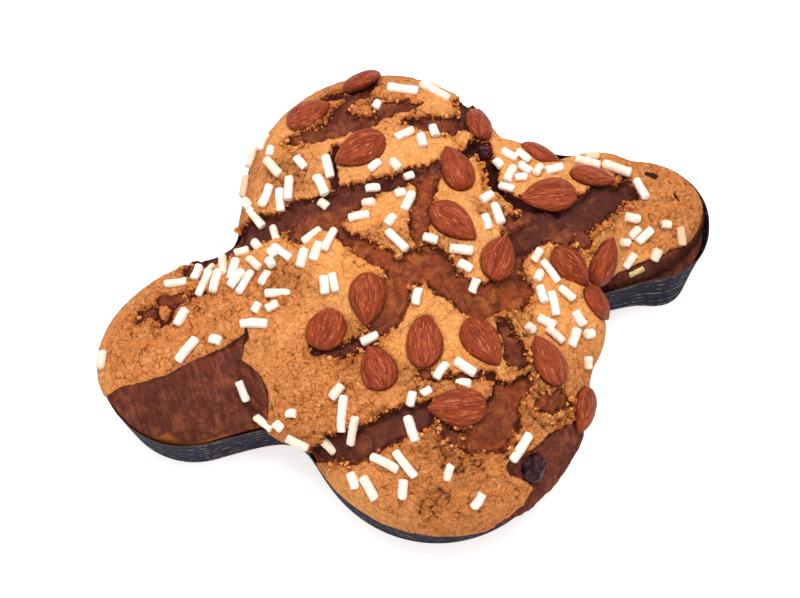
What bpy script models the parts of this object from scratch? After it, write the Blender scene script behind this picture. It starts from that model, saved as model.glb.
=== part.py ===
"""A colomba, the dove-shaped Easter bread, in its paper baking case.

Metres, +Z up. The case stands on z = 0, the dove's head points to +X and its tail to -X,
and the two wings point to -Y (near) and +Y (far). The origin is under the middle of the cross.
"""

import math
import random

import bmesh
import bpy
import numpy as np
from mathutils import Matrix, Vector, noise
from mathutils.bvhtree import BVHTree

MM = 0.001

# The paper case: a four-lobed cross whose wall opens out a little. Heights and sizes in mm.
CASE_HEIGHT = 45
CASE_FLARE = 4
CASE_PAPER = 0.8
CASE_CORNER_BLEND = 9
CASE_POINTS = 96

# Each lobe of the case's base in mm: root x and y, tip centre x and y, root and tip radius.
TAIL_LOBE = (0, 0, -109, -1, 42, 38)
HEAD_LOBE = (13, 24, 121.5, -4.8, 46, 26.2)
NEAR_LOBE = (0, 0, -2.5, -54.5, 62, 61.5)
FAR_LOBE = (0, 0, 0.5, 48, 59, 59)
LOBES = (TAIL_LOBE, HEAD_LOBE, NEAR_LOBE, FAR_LOBE)

# A corner that the fold leaves at the foot of the wall, under the head: place, reach and depth in mm.
FOOT_CORNER = (129, -36)
FOOT_CORNER_REACH = 14
FOOT_CORNER_DEPTH = 5

# The room kept between two pieces, in mm, and how far the block that is cut off reaches.
GAP = 0.4
SURPLUS = 20
SURPLUS_WIDTH = 500

# The risen dough: one rounded lump for each rise, as centre x, y, z and half sizes in mm.
LUMPS = {
    "tail": ((-90, 1, 37), (66, 47, 29)),
    "tail_root": ((-50, 5, 42), (60, 46, 36)),
    "head_root": ((60, 5, 42), (60, 39, 34)),
    "head": ((104, 1, 38), (50, 33, 19)),
    "head_far": ((98, 19.5, 42.5), (31, 20.5, 12)),
    "near_wing": ((0, -55, 44), (69, 69, 42)),
    "near_left": ((-44, -28, 50), (46, 40, 30)),
    "near_right": ((31, -50, 46), (44, 38, 30)),
    "near_shoulder": ((49, -36, 44), (37, 38, 30)),
    "far_wing": ((3, 46.5, 42), (67, 65, 43)),
    "far_left": ((-36, 44, 42), (33, 34, 32)),
    "far_shoulder": ((53, 31, 44), (34, 30, 25)),
    "middle": ((0, 0, 44), (68, 62, 47)),
}

# The dough inside the case, as offset from the case's base and height in mm, from its foot up.
FILLING = ((1, -3), (1, 30), (-1, 37))

VOXEL = 2.5
SMOOTHING = 5
LOAF_TRIANGLES = 4100

# The height above the rim, in mm, over which the cracks reach their full depth.
CRACKS_START = 4

# Bare crust between the plates of glaze: its depth in mm, then x, y and half width along it.
CRUST = {
    "far_band": (3.5, (-96, 40, 3), (-84, 41, 5), (-72, 44, 7), (-58, 44, 6), (-45, 42, 6),
                 (-30, 40, 5), (-15, 40, 5), (0, 39, 3), (28, 40, 2.5)),
    "far_band_root": (3, (-42, 34, 4), (-28, 33, 5), (-12, 35, 2)),
    "left_of_plate": (2.5, (-27, 30, 4), (-24, 22, 2), (-20, 15, 3.5), (-8, 2, 4.5)),
    "right_of_plate": (2.5, (24, 36, 4), (17, 25, 4), (12, 15, 4.5), (8, 9, 3)),
    "heart": (3, (-12, -20, 6), (-6, -8, 6), (5, -5, 8), (12, -8, 8), (16, -18, 7),
              (22, -27, 8), (32, -27, 7), (44, -27, 8)),
    "left_of_heart": (2.5, (-26, -26, 3), (-14, -23, 5)),
    "under_left_almonds": (2.5, (-53, -26, 1.5), (-40, -29, 2.5), (-28, -30, 2.5)),
    "neck": (3.5, (54, -4, 7), (66, -3, 6), (80, -2, 8), (95, 3, 9), (107, 8, 8), (114, 10, 5)),
    "neck_near": (2.5, (84, -11, 3), (74, -9, 3)),
    "beside_neck": (2, (50, -12, 2.5), (48, -19, 2)),
    "shoulder_crack": (5, (54, 48, 5), (54, 38, 2.5), (53, 30, 2), (56, 22, 1.5), (60, 14, 1.5),
                       (76, 4, 2.5)),
    "far_shoulder_crack": (4, (50, 60, 3), (55, 66, 4), (57, 76, 3), (58, 83, 1.5)),
    "crack_link": (4, (44, 45, 2), (50, 47, 4)),
    "far_top": (3, (-30, 79, 2), (-18, 77, 4.5), (-6, 77, 7), (6, 74, 3)),
    "far_top_fork": (2.5, (-8, 84, 2.5), (0, 88, 2), (10, 89, 2)),
    "far_rim_crack": (4, (-9, 96, 1.5), (3, 94, 2.5), (9, 92, 3), (16, 97, 1.5)),
    "far_top_right": (3, (15, 79, 5), (28, 78, 3.5)),
    "far_right": (3, (23, 67, 2.5), (35, 65, 4), (47, 62, 4.5)),
    "beside_far_almond": (4, (-15, 64, 2), (-19, 57, 2), (-19, 48, 2)),
    "near_heart": (3.5, (33, -42, 4), (34, -50, 5), (34, -58, 4.5)),
    "near_crack": (2, (-10, -54, 1.5), (2, -61, 1), (18, -65, 1.5)),
    "near_band": (4, (-66, -65, 3), (-50, -72, 7), (-35, -72, 7.5), (-22, -72, 6.5), (-12, -70, 4)),
    "near_valley": (3.5, (0, -89, 4), (10, -88, 8), (18, -83, 8), (23, -75, 6), (35, -70, 2.5)),
    "near_hole": (3, (-11, -80, 2), (-4, -86, 2.5)),
    "near_right_patch": (2.5, (40, -83, 4.5), (48, -80, 4)),
    "near_right_side": (1.5, (16, -105, 3), (26, -107, 7), (40, -106, 11), (56, -100, 10)),
    "tail_side": (1, (-147, -26, 20), (-120, -34, 24), (-103, -32, 24)),
    "tail_corner": (1, (-97, -14, 7), (-81, -7, 1.5)),
    "tail_waist": (1, (-98, -27, 9), (-96, -40, 9)),
    "tail_crease": (1.5, (-79, -4, 0.5), (-87, -16, 1), (-91, -29, 1.5), (-88, -40, 1)),
    "tail_hole": (3, (-123, 22, 2), (-119, 22, 3)),
    "tail_patch": (1.5, (-112, 27, 3), (-103, 24, 3)),
    "tail_crack": (2, (-116, 15, 1), (-105, 21, 1), (-95, 24, 1)),
    "head_side": (1, (84, -35, 4), (100, -34, 8), (118, -34, 10), (134, -33, 10), (148, -24, 8)),
}
CRUST_EDGE = 2.5

# Each almond in mm and degrees: x, y, the way its tip points, length, width, roll and pitch.
ALMONDS = (
    (12, 100, 40, 24, 14, -25, 0),
    (-18.5, 90, -8, 23, 15, 10, 0),
    (-3, 60, 195, 27, 16, 0, -6),
    (57.5, 62, 55, 22, 14, 0, 0),
    (37.5, 38.5, 98, 23, 15, 0, 0),
    (83, 40, -50, 24, 14, 0, 0),
    (100, 18.5, -12, 23, 13, -15, 0),
    (75, 13, 172, 27, 16.5, 0, 0),
    (26.5, 10.5, -57, 26, 16, 0, 0),
    (41.5, -10.3, 45, 25, 15.5, 0, 0),
    (74.5, -21.5, -58, 25.5, 13.5, 0, 0),
    (91.5, -21.5, 80, 25, 13.5, 0, 0),
    (81, -40, -35, 20, 12.5, 0, 0),
    (-23, -12.5, -112, 24, 16, 0, 0),
    (-43.5, -17, 50, 24, 17, 0, 12),
    (-4.5, -38.8, 72, 27.5, 15.5, 0, 0),
    (-28, -43.3, 95, 23, 15.5, 0, 0),
    (20.5, -48, -75, 26, 15.5, 8, 0),
    (47, -63, 104, 25.5, 15, 0, 0),
    (-0.8, -73, 164, 27, 16, 0, 0),
    (57.5, -86.5, 225, 23, 13.5, 0, 0),
)
ALMOND_THICKNESS = 9
ALMOND_SIDES = 8
ALMOND_RINGS = 6
ALMOND_RISE = 0.6

# Fruit and sugar lie only where the dough comes this near the rim from below, in mm, or higher.
REST_BELOW_RIM = 6
REST_REACH = 3
SKY = 200

# The raisins, in mm and degrees: x, y, heading, length, width and how far they stand out.
RAISINS = {
    "raisin_near": (25, -106, 60, 13, 11, 1),
    "raisin_far": (55, 47.5, -20, 11, 8, 0),
}
RAISIN_FLATNESS = 0.8
RAISIN_WRINKLE = 0.12
RAISIN_WRINKLES = 2.5
RAISIN_ROOM = GAP + 0.1

# Pearl sugar that lies by itself: x, y, heading and length, and how far it strays in mm and degrees.
LONE_SUGAR = (
    (-103, 32, -30, 11), (-105, 13, 40, 9), (-107, -3, 34, 14), (-93, -2, -40, 6), (-146, 10, 65, 9),
    (-89, -28, 82, 10), (-84.5, -43.5, -54, 10), (-78.5, -49.5, -79, 5), (-71, -47, -19, 5),
    (-73, -57, -54, 11), (-60, -64, -64, 10), (-50, -46, 33, 8), (-50, -56, 60, 17), (-47, -66, 57, 14),
    (-27, -28, 11, 9), (-2, -56, 34, 9), (9, -57, -48, 11), (5, -63, -27, 9), (-18, -62, 62, 7),
    (-12, -63, 12, 5), (-22, -75, 89, 13), (-38, -85, -47, 14), (-30, -88, -71, 15), (-35, -97, 55, 9),
    (-13, -98, 59, 8), (-4, -112, 53, 8), (22, -98, 43, 15), (-53, -85, 77, 8), (-49, -90, 81, 12),
    (61, -12.5, 42, 7), (66, -8, 40, 7), (63.5, -21, -74, 13), (57.5, -23.5, 42, 6), (55.5, -33, 82, 9),
    (60, -37, 84, 12), (66, -33.5, -56, 9), (52, -44, -45, 9), (43, -46, -19, 5), (54, -51.5, -59, 10),
    (68.5, -47, -63, 8), (62.5, -54, 53, 9), (71, -54, -19, 5), (67, -66, -81, 6), (122, 8, -87, 12),
    (111, -4, -10, 8), (110.5, -10.5, 22, 7), (114.5, -13.5, 27, 10), (103, -13.5, -19, 5),
    (104.6, -21.5, 43, 8.5), (127, -11, -19, 5), (131.5, -17, 90, 9), (118, -22.5, 55, 6),
    (114, 21, -51, 15), (25.5, -4.5, -19, 11), (25, -11, -45, 7), (26, -19.8, 52, 7), (14, 5, -35, 7),
    (-1.5, -20, 62, 8), (9, 27, 45, 11), (-14, 27, -13, 10), (0, 20, 28, 6), (-1.5, 9, -70, 14),
    (-7, 32, -40, 6), (7, 33, 0, 5), (47, 21, 28, 8), (41, 8, 80, 8), (49, 11, -89, 12), (1, 49, 24, 7),
    (11, 47, -71, 6), (20, 60, 13, 10), (27, 55, 85, 7), (33, 59, 85, 6), (-2, 40, -19, 7), (15, 40, 0, 5),
    (12, 82, 50, 5), (27, 88, -27, 15), (43, 84, -39, 16), (64.5, 54, -19, 9), (59.5, 38.5, -66, 5),
    (64.8, 41.6, -47, 8.5), (71, 39.3, -59, 8), (63, 31.6, 46, 10), (69.8, 31.6, -75, 8),
    (74.8, 28.8, 58, 7), (84, 25.5, 12, 9), (67.5, 25.5, -19, 6), (59.5, 23.5, -43, 7.5),
    (103.4, 29.6, -25, 12.5), (105.6, 33.6, -8, 7),
)
LONE_SPREAD = 1
LONE_TURN = 5

# Pearl sugar that lies close: x, y, spread in x and in y, how many, main heading and its spread.
SUGAR_CLUSTERS = (
    (-84, 30, 8, 7, 6, 60, 35),
    (-61, 29, 10, 8, 7, -45, 40),
    (-70, 17, 12, 3, 3, 45, 40),
    (-70, 2, 12, 5, 4, 25, 45),
    (-38, 23, 8, 8, 4, 30, 35),
    (-38, 0, 4, 1, 2, 77, 5),
    (-32, -6, 2, 4, 1, 75, 15),
    (-48, 80, 10, 9, 5, 65, 15),
    (-37, 68, 8, 3, 2, -62, 8),
    (-61, 57, 5, 5, 3, -55, 15),
    (-43, 53, 7, 4, 3, 60, 25),
    (-26, 48, 3, 6, 2, -70, 30),
    (-18, 53, 1, 3, 1, 80, 10),
    (50, 86, 6, 5, 2, -35, 20),
)
SUGAR_THICKNESS = 4.6
SUGAR_LENGTHS = (6, 14)
SUGAR_NUB = 5
SUGAR_NUB_SHARE = 0.15
SUGAR_SIDES = 6
SUGAR_SINK = 0.3
SUGAR_SEED = 25
SUGAR_TRIES = 60
SUGAR_SPREADING = 60

# How near one piece may come to another, as a share of its thickness, and how much of what is then
# missing between them it rises, so that it leans on the other.
SUGAR_CLOSEST = 0.6
SUGAR_LEAN = 0.6

# The sliver of candied peel between the head and the paper: x, y, heading, length, thickness.
PEEL = (107, -27.5, 8, 8, 3)

# Looks: colour, roughness and metallic.
CRUST_LOOK = ((0.36, 0.14, 0.055), 0.75, 0)
ALMOND_LOOK = ((0.27, 0.072, 0.032), 0.6, 0)
RAISIN_LOOK = ((0.035, 0.012, 0.012), 0.4, 0)
PAPER_LOOK = ((0.018, 0.016, 0.022), 0.6, 0)


def material(name, look):
    """A plain Principled material."""
    colour, roughness, metallic = look
    made = bpy.data.materials.new(name)
    made.use_nodes = True
    shader = made.node_tree.nodes["Principled BSDF"]
    shader.inputs["Base Color"].default_value = (*colour, 1)
    shader.inputs["Roughness"].default_value = roughness
    shader.inputs["Metallic"].default_value = metallic
    return made


def mesh_object(name, edit, collection):
    """A new object from a bmesh."""
    mesh = bpy.data.meshes.new(name)
    edit.to_mesh(mesh)
    edit.free()
    made = bpy.data.objects.new(name, mesh)
    collection.objects.link(made)
    return made


def applied(target):
    """The object with its modifiers made real."""
    graph = bpy.context.evaluated_depsgraph_get()
    graph.update()
    finished = bpy.data.meshes.new_from_object(target.evaluated_get(graph))
    old = target.data
    target.modifiers.clear()
    target.data = finished
    bpy.data.meshes.remove(old)
    return target


def lobe_distance(x, y, lobe):
    """Distance in mm from a point to a lobe's outline, negative inside."""
    root_x, root_y, tip_x, tip_y, root_r, tip_r = lobe
    along_x, along_y = tip_x - root_x, tip_y - root_y
    share = ((x - root_x) * along_x + (y - root_y) * along_y) / (along_x**2 + along_y**2)
    share = min(1, max(0, share))
    off = math.hypot(x - root_x - share * along_x, y - root_y - share * along_y)
    return off - (root_r + (tip_r - root_r) * share)


def case_distance(x, y):
    """Distance in mm to the outline of the case's base, with its inner corners rounded."""
    blend = CASE_CORNER_BLEND
    return -blend * math.log(sum(math.exp(-lobe_distance(x, y, lobe) / blend) for lobe in LOBES))


def base_outline(rays=720):
    """Evenly spaced points round the case's base, each with its outward direction, in mm."""
    ring = []
    for step in range(rays):
        turn = Vector((math.cos(2 * math.pi * step / rays), math.sin(2 * math.pi * step / rays)))
        inner, outer = 0.0, 200.0
        while outer - inner > 0.01:
            middle = (inner + outer) / 2
            inside = case_distance(*(turn * middle)) < 0
            inner, outer = (middle, outer) if inside else (inner, middle)
        ring.append(turn * inner)
    walked = np.cumsum([0] + [(ring[i] - ring[i - 1]).length for i in range(1, rays)])
    whole = walked[-1] + (ring[0] - ring[-1]).length
    across, up = [point.x for point in ring], [point.y for point in ring]
    points = []
    for step in range(CASE_POINTS):
        stop = whole * step / CASE_POINTS
        x, y = np.interp(stop, walked, across), np.interp(stop, walked, up)
        slope = Vector((case_distance(x + 1, y) - case_distance(x - 1, y),
                        case_distance(x, y + 1) - case_distance(x, y - 1)))
        points.append((Vector((x, y)), slope.normalized()))
    return points


def case_ring(outline, offset, height):
    """The case's outline at a height, moved outwards by an offset, in metres."""
    rise = min(1, max(0, height / CASE_HEIGHT))
    ring = []
    for point, outward in outline:
        away = (point - Vector(FOOT_CORNER)).length / FOOT_CORNER_REACH
        corner = FOOT_CORNER_DEPTH * (1 - rise) * math.exp(-(away**2))
        moved = point + outward * (offset + CASE_FLARE * rise + corner)
        ring.append(Vector((moved.x, moved.y, height)) * MM)
    return ring


def lofted(name, outline, stations, collection):
    """A closed solid through rings of the case's outline, given by their offsets and heights."""
    edit = bmesh.new()
    bmesh.ops.create_circle(edit, cap_ends=True, segments=len(outline), radius=1.0)
    place = edit.verts.layers.int.new("place")
    for index, vertex in enumerate(edit.verts):
        vertex[place] = index
    foot = last = edit.faces[:][0]
    for offset, height in stations:
        ring = case_ring(outline, offset, height)
        for vertex in last.verts:
            vertex.co = ring[vertex[place]]
        if (offset, height) != stations[-1]:
            grown = bmesh.ops.extrude_face_region(edit, geom=[last])["geom"]
            if last is not foot:
                bmesh.ops.delete(edit, geom=[last], context="FACES_ONLY")
            last = next(item for item in grown if isinstance(item, bmesh.types.BMFace))
    walls = [face for face in edit.faces if len(face.verts) == 4]
    bmesh.ops.triangulate(edit, faces=walls, quad_method="SHORT_EDGE")
    bmesh.ops.recalc_face_normals(edit, faces=edit.faces[:])
    return mesh_object(name, edit, collection)


def paper_case(outline, collection):
    """The open case: its wall and its floor of one thickness of paper."""
    stations = ((0, 0), (0, CASE_HEIGHT), (-CASE_PAPER, CASE_HEIGHT), (-CASE_PAPER, CASE_PAPER))
    case = lofted("paper_case", outline, stations, collection)
    case.data.materials.append(material("printed_paper", PAPER_LOOK))
    return case


def dough(outline, collection):
    """The risen loaf before its glaze cracks: the filled case and the lumps, run together."""
    loaf = lofted("bread", outline, FILLING, collection)
    edit = bmesh.new()
    edit.from_mesh(loaf.data)
    for centre, half in LUMPS.values():
        place = Matrix.Translation(Vector(centre) * MM) @ Matrix.Diagonal((*(Vector(half) * MM), 1))
        bmesh.ops.create_uvsphere(edit, u_segments=48, v_segments=24, radius=1.0, matrix=place)
    edit.to_mesh(loaf.data)
    edit.free()
    remesh = loaf.modifiers.new("run together", "REMESH")
    remesh.mode = "VOXEL"
    remesh.voxel_size = VOXEL * MM
    smooth = loaf.modifiers.new("soft folds", "SMOOTH")
    smooth.iterations = SMOOTHING
    return applied(loaf)


def crust_depths(points):
    """How deep the bare crust lies under the glaze at each point, in mm."""
    deepest = np.zeros(len(points))
    for depth, *path in CRUST.values():
        off = np.full(len(points), 1000.0)
        for start, end in zip(path, path[1:]):
            along = np.array(end[:2]) - np.array(start[:2])
            share = ((points[:, :2] - start[:2]) @ along / (along @ along)).clip(0, 1)
            nearest = np.array(start[:2]) + share[:, None] * along
            half = start[2] + share * (end[2] - start[2])
            off = np.minimum(off, np.linalg.norm(points[:, :2] - nearest, axis=1) - half)
        fall = (0.5 - off / CRUST_EDGE).clip(0, 1)
        deepest = np.maximum(deepest, depth * fall * fall * (3 - 2 * fall))
    return deepest


def crack_glaze(loaf):
    """Sinks the bare crust below the glaze."""
    mesh = loaf.data
    points = np.array([vertex.co for vertex in mesh.vertices]) / MM
    normals = np.array([vertex.normal for vertex in mesh.vertices])
    above = ((points[:, 2] - CASE_HEIGHT) / CRACKS_START).clip(0, 1)
    moved = points - normals * (crust_depths(points) * above)[:, None]
    mesh.vertices.foreach_set("co", (moved * MM).ravel())
    mesh.update()


def surface_tree(target):
    """A search tree of the object's faces."""
    places = [vertex.co for vertex in target.data.vertices]
    return BVHTree.FromPolygons(places, [face.vertices for face in target.data.polygons])


def resting_place(tree, x, y, heading):
    """A frame on the loaf's top at x and y in mm: X along the heading, Z out of the surface."""
    normal = Vector()
    reach = REST_REACH
    for dx, dy in ((reach, 0), (-reach, 0), (0, reach), (0, -reach), (0, 0)):
        point, slope, *_ = tree.ray_cast(Vector((x + dx, y + dy, SKY)) * MM, Vector((0, 0, -1)))
        if point and point.z > (CASE_HEIGHT - REST_BELOW_RIM) * MM:
            normal += slope
        elif (dx, dy) == (0, 0):
            return None
    normal.normalize()
    ahead = Vector((math.cos(math.radians(heading)), math.sin(math.radians(heading)), 0))
    side = normal.cross(ahead).normalized()
    frame = Matrix((side.cross(normal), side, normal)).transposed().to_4x4()
    return Matrix.Translation(point) @ frame


def almond_width(x):
    """An almond's width along its length, from -1 at its broad end to 1 at its tip."""
    return 1.06 - 0.3 * x - 0.12 * x * x


def almond_depth(x):
    """An almond's thickness along its length, from -1 at its broad end to 1 at its tip."""
    return 1.02 - 0.15 * x


def almond_mesh(name, size, room, place, collection):
    """An almond with its tip at +X, or with some room round it the hollow that it lies in."""
    length, width = size
    half = Vector((length / 2 + room, width / 2 + room, ALMOND_THICKNESS / 2 + room)) * MM
    edit = bmesh.new()
    bmesh.ops.create_uvsphere(edit, u_segments=ALMOND_SIDES, v_segments=ALMOND_RINGS, radius=1.0,
                              matrix=Matrix.Rotation(math.pi / 2, 4, "Y"))
    for vertex in edit.verts:
        x, y, z = vertex.co
        vertex.co = (x * half.x, y * almond_width(x) * half.y, z * almond_depth(x) * half.z)
    bmesh.ops.recalc_face_normals(edit, faces=edit.faces[:])
    edit.transform(place)
    return mesh_object(name, edit, collection)


def almond_place(tree, row):
    """Where an almond lies, half sunk in the loaf."""
    x, y, heading, _, _, roll, pitch = row
    turn = Matrix.Rotation(math.radians(roll), 4, "X") @ Matrix.Rotation(math.radians(pitch), 4, "Y")
    return resting_place(tree, x, y, heading) @ Matrix.Translation((0, 0, ALMOND_RISE * MM)) @ turn


def almonds(tree, collection, hollows):
    """The almonds, and the hollows that they lie in."""
    skin = material("almond_skin", ALMOND_LOOK)
    for number, row in enumerate(ALMONDS, 1):
        place = almond_place(tree, row)
        almond = almond_mesh(f"almond_{number:02d}", row[3:5], 0, place, collection)
        almond.data.materials.append(skin)
        almond_mesh(f"hollow_{number:02d}", row[3:5], GAP, place, hollows)


def raisin_mesh(name, size, room, place, collection):
    """A raisin, wrinkled, or with some room round it the hollow that it lies in."""
    length, width = size
    half = Vector((length / 2 + room, width / 2 + room, width / 2 * RAISIN_FLATNESS + room)) * MM
    edit = bmesh.new()
    bmesh.ops.create_icosphere(edit, subdivisions=2, radius=1.0)
    for vertex in edit.verts:
        wrinkle = 1 + RAISIN_WRINKLE * noise.noise(vertex.co * RAISIN_WRINKLES)
        vertex.co = Vector((vertex.co.x * half.x, vertex.co.y * half.y, vertex.co.z * half.z)) * wrinkle
    edit.transform(place)
    return mesh_object(name, edit, collection)


def raisins(tree, collection, hollows):
    """The raisins, and the hollows that they lie in."""
    skin = material("raisin_skin", RAISIN_LOOK)
    for name, (x, y, heading, length, width, rise) in RAISINS.items():
        place = resting_place(tree, x, y, heading) @ Matrix.Translation((0, 0, rise * MM))
        raisin = raisin_mesh(name, (length, width), 0, place, collection)
        raisin.data.materials.append(skin)
        raisin_mesh(f"{name}_hollow", (length, width), RAISIN_ROOM, place, hollows)


def covers(row, x, y, margin):
    """Whether an almond or raisin lies under a point of the plan, with a margin in mm."""
    centre_x, centre_y, heading, length, width = row[:5]
    turn = math.radians(heading)
    along = (x - centre_x) * math.cos(turn) + (y - centre_y) * math.sin(turn)
    across = (y - centre_y) * math.cos(turn) - (x - centre_x) * math.sin(turn)
    return (along / (length / 2 + margin)) ** 2 + (across / (width / 2 + margin)) ** 2 < 1


def sugar_wishes(draw):
    """Each piece of sugar as it is wished for: x, y, spread in x and in y, heading, turn and length."""
    for x, y, heading, length in LONE_SUGAR:
        yield x, y, LONE_SPREAD, LONE_SPREAD, heading, LONE_TURN, length
    for x, y, spread_x, spread_y, count, heading, turn in SUGAR_CLUSTERS:
        for _ in range(count):
            is_nub = draw.random() < SUGAR_NUB_SHARE
            length = SUGAR_NUB if is_nub else draw.uniform(*SUGAR_LENGTHS)
            yield x, y, spread_x, spread_y, heading, turn, length


def sugar_pieces():
    """Pearl sugar where it finds room near its wished place: x, y, heading, length and rise, in mm."""
    draw = random.Random(SUGAR_SEED)
    margin = SUGAR_THICKNESS / 2 + 2 * GAP
    fruit = ALMONDS + tuple(RAISINS.values())
    laid = []
    for x, y, spread_x, spread_y, heading, turn, length in sugar_wishes(draw):
        for attempt in range(SUGAR_TRIES):
            wider = 1 + attempt / SUGAR_SPREADING
            across, up = draw.uniform(-1, 1), draw.uniform(-1, 1)
            at = Vector((x + spread_x * wider * across, y + spread_y * wider * up))
            angle = heading + turn * draw.uniform(-1, 1)
            ahead = Vector((math.cos(math.radians(angle)), math.sin(math.radians(angle))))
            spots = [at + ahead * length * share for share in (-0.5, -0.25, 0, 0.25, 0.5)]
            on_fruit = any(covers(row, *spot, margin) for row in fruit for spot in spots)
            away = min(((spot - other).length for piece in laid for other in piece[5] for spot in spots),
                       default=SUGAR_THICKNESS)
            if not on_fruit and away > SUGAR_CLOSEST * SUGAR_THICKNESS:
                raised = SUGAR_LEAN * max(SUGAR_THICKNESS - away, 0)
                laid.append((at.x, at.y, angle, length, raised, spots))
                break
    return [piece[:5] for piece in laid]


def sugar_mesh(name, length, thickness, place, collection):
    """A short rod of pressed sugar along X."""
    edit = bmesh.new()
    turned = place @ Matrix.Rotation(math.pi / 2, 4, "Y")
    radius = thickness / 2 * MM
    bmesh.ops.create_cone(edit, cap_ends=True, segments=SUGAR_SIDES, radius1=radius, radius2=radius,
                          depth=length * MM, matrix=turned)
    return mesh_object(name, edit, collection)


def above_paper(place, length):
    """Whether a piece of sugar lies wholly above the rim of the case."""
    lowest = place.translation.z / MM - abs(place.col[0].z) * length / 2 - SUGAR_THICKNESS / 2
    return lowest > CASE_HEIGHT + 2 * GAP


def toppings(tree, collection):
    """The pearl sugar and the sliver of peel, each sunk a little in the loaf."""
    for number, (x, y, heading, length, raised) in enumerate(sugar_pieces(), 1):
        place = resting_place(tree, x, y, heading)
        rise = SUGAR_THICKNESS * (0.5 - SUGAR_SINK) + raised
        lift = Matrix.Translation((0, 0, rise * MM))
        if place and above_paper(place @ lift, length):
            sugar_mesh(f"sugar_{number:03d}", length, SUGAR_THICKNESS, place @ lift, collection)
    x, y, heading, length, thickness = PEEL
    sugar_mesh("peel", length, thickness, resting_place(tree, x, y, heading), collection)


def boolean(target, operation, operand):
    """Cuts or joins an object or a collection, and makes the result real."""
    change = target.modifiers.new(operation.lower(), "BOOLEAN")
    change.operation = operation
    change.solver = "MANIFOLD"
    if isinstance(operand, bpy.types.Collection):
        change.operand_type = "COLLECTION"
        change.collection = operand
    else:
        change.object = operand
    return applied(target)


def clear_of_paper(outline, cutters):
    """What is cut off the loaf below the rim, so that it stays clear of the case."""
    heights = (CASE_PAPER + GAP, CASE_HEIGHT, CASE_HEIGHT + SURPLUS)
    stations = [(-CASE_PAPER - GAP, height) for height in heights]
    room = lofted("room", outline, stations, cutters)
    edit = bmesh.new()
    top, bottom = CASE_HEIGHT + GAP, -SURPLUS
    size = Matrix.Diagonal((SURPLUS_WIDTH * MM, SURPLUS_WIDTH * MM, (top - bottom) * MM, 1))
    middle = Matrix.Translation((0, 0, (top + bottom) / 2 * MM))
    bmesh.ops.create_cube(edit, size=1.0, matrix=middle @ size)
    return boolean(mesh_object("surplus", edit, cutters), "DIFFERENCE", room)


def thinned(loaf):
    """The loaf with fewer faces."""
    mesh = loaf.data
    triangles = sum(len(face.vertices) - 2 for face in mesh.polygons)
    collapse = loaf.modifiers.new("fewer faces", "DECIMATE")
    collapse.ratio = LOAF_TRIANGLES / triangles
    return applied(loaf)


def largest_island(loaf):
    """Drops any loose scrap that the cutting left."""
    edit = bmesh.new()
    edit.from_mesh(loaf.data)
    waiting = set(edit.verts)
    islands = []
    while waiting:
        island, front = set(), [waiting.pop()]
        while front:
            vertex = front.pop()
            island.add(vertex)
            for edge in vertex.link_edges:
                other = edge.other_vert(vertex)
                if other in waiting:
                    waiting.discard(other)
                    front.append(other)
        islands.append(island)
    islands.sort(key=len)
    for island in islands[:-1]:
        bmesh.ops.delete(edit, geom=list(island), context="VERTS")
    edit.to_mesh(loaf.data)
    edit.free()


def discard(collection):
    """Removes a collection and the objects in it."""
    for item in list(collection.objects):
        bpy.data.objects.remove(item)
    bpy.data.collections.remove(collection)


def main():
    for old in list(bpy.data.objects):
        bpy.data.objects.remove(old)
    collection = bpy.data.collections.new("colomba")
    cutters = bpy.data.collections.new("cutters")
    hollows = bpy.data.collections.new("hollows")
    sweets = bpy.data.collections.new("sweets")
    for group in (collection, cutters, hollows, sweets):
        bpy.context.scene.collection.children.link(group)

    outline = base_outline()
    paper_case(outline, collection)
    loaf = dough(outline, collection)
    whole = surface_tree(loaf)
    crack_glaze(loaf)
    thinned(loaf)
    boolean(loaf, "DIFFERENCE", clear_of_paper(outline, cutters))
    almonds(whole, collection, hollows)
    raisins(surface_tree(loaf), collection, hollows)
    toppings(surface_tree(loaf), sweets)
    boolean(loaf, "DIFFERENCE", hollows)
    boolean(loaf, "UNION", sweets)
    largest_island(loaf)
    loaf.data.materials.clear()
    loaf.data.materials.append(material("baked_crust", CRUST_LOOK))
    for group in (cutters, hollows, sweets):
        discard(group)


if __name__ == "__main__":
    main()
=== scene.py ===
"""A colomba, the dove-shaped Easter bread, glazed and studded with almonds, in its paper case.

Metres, +Z up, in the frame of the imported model. The head points to +X and the tail to -X.
"""

import math
import random

import bmesh
import bpy
import numpy as np
from mathutils import Matrix, Vector, noise
from mathutils.bvhtree import BVHTree


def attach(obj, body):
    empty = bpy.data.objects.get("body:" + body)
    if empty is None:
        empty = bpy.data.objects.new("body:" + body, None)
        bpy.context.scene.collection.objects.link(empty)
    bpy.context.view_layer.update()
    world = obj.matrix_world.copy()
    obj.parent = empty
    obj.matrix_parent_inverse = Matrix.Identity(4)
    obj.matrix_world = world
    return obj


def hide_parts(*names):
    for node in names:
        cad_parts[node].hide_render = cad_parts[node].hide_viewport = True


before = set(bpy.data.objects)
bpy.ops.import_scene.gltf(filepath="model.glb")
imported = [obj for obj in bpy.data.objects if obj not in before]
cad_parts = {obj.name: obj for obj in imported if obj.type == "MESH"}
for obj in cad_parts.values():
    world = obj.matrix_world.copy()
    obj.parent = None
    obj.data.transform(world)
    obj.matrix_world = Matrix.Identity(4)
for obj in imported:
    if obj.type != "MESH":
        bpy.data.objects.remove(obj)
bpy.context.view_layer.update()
bpy.ops.object.select_all(action="DESELECT")

# The paper case
# Stiff greaseproof card, printed navy with broken gold lines and cut raw at its rim. It is folded
# into a four-lobed cross whose wall leans out a little, and the dough rises and bakes in it.

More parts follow.
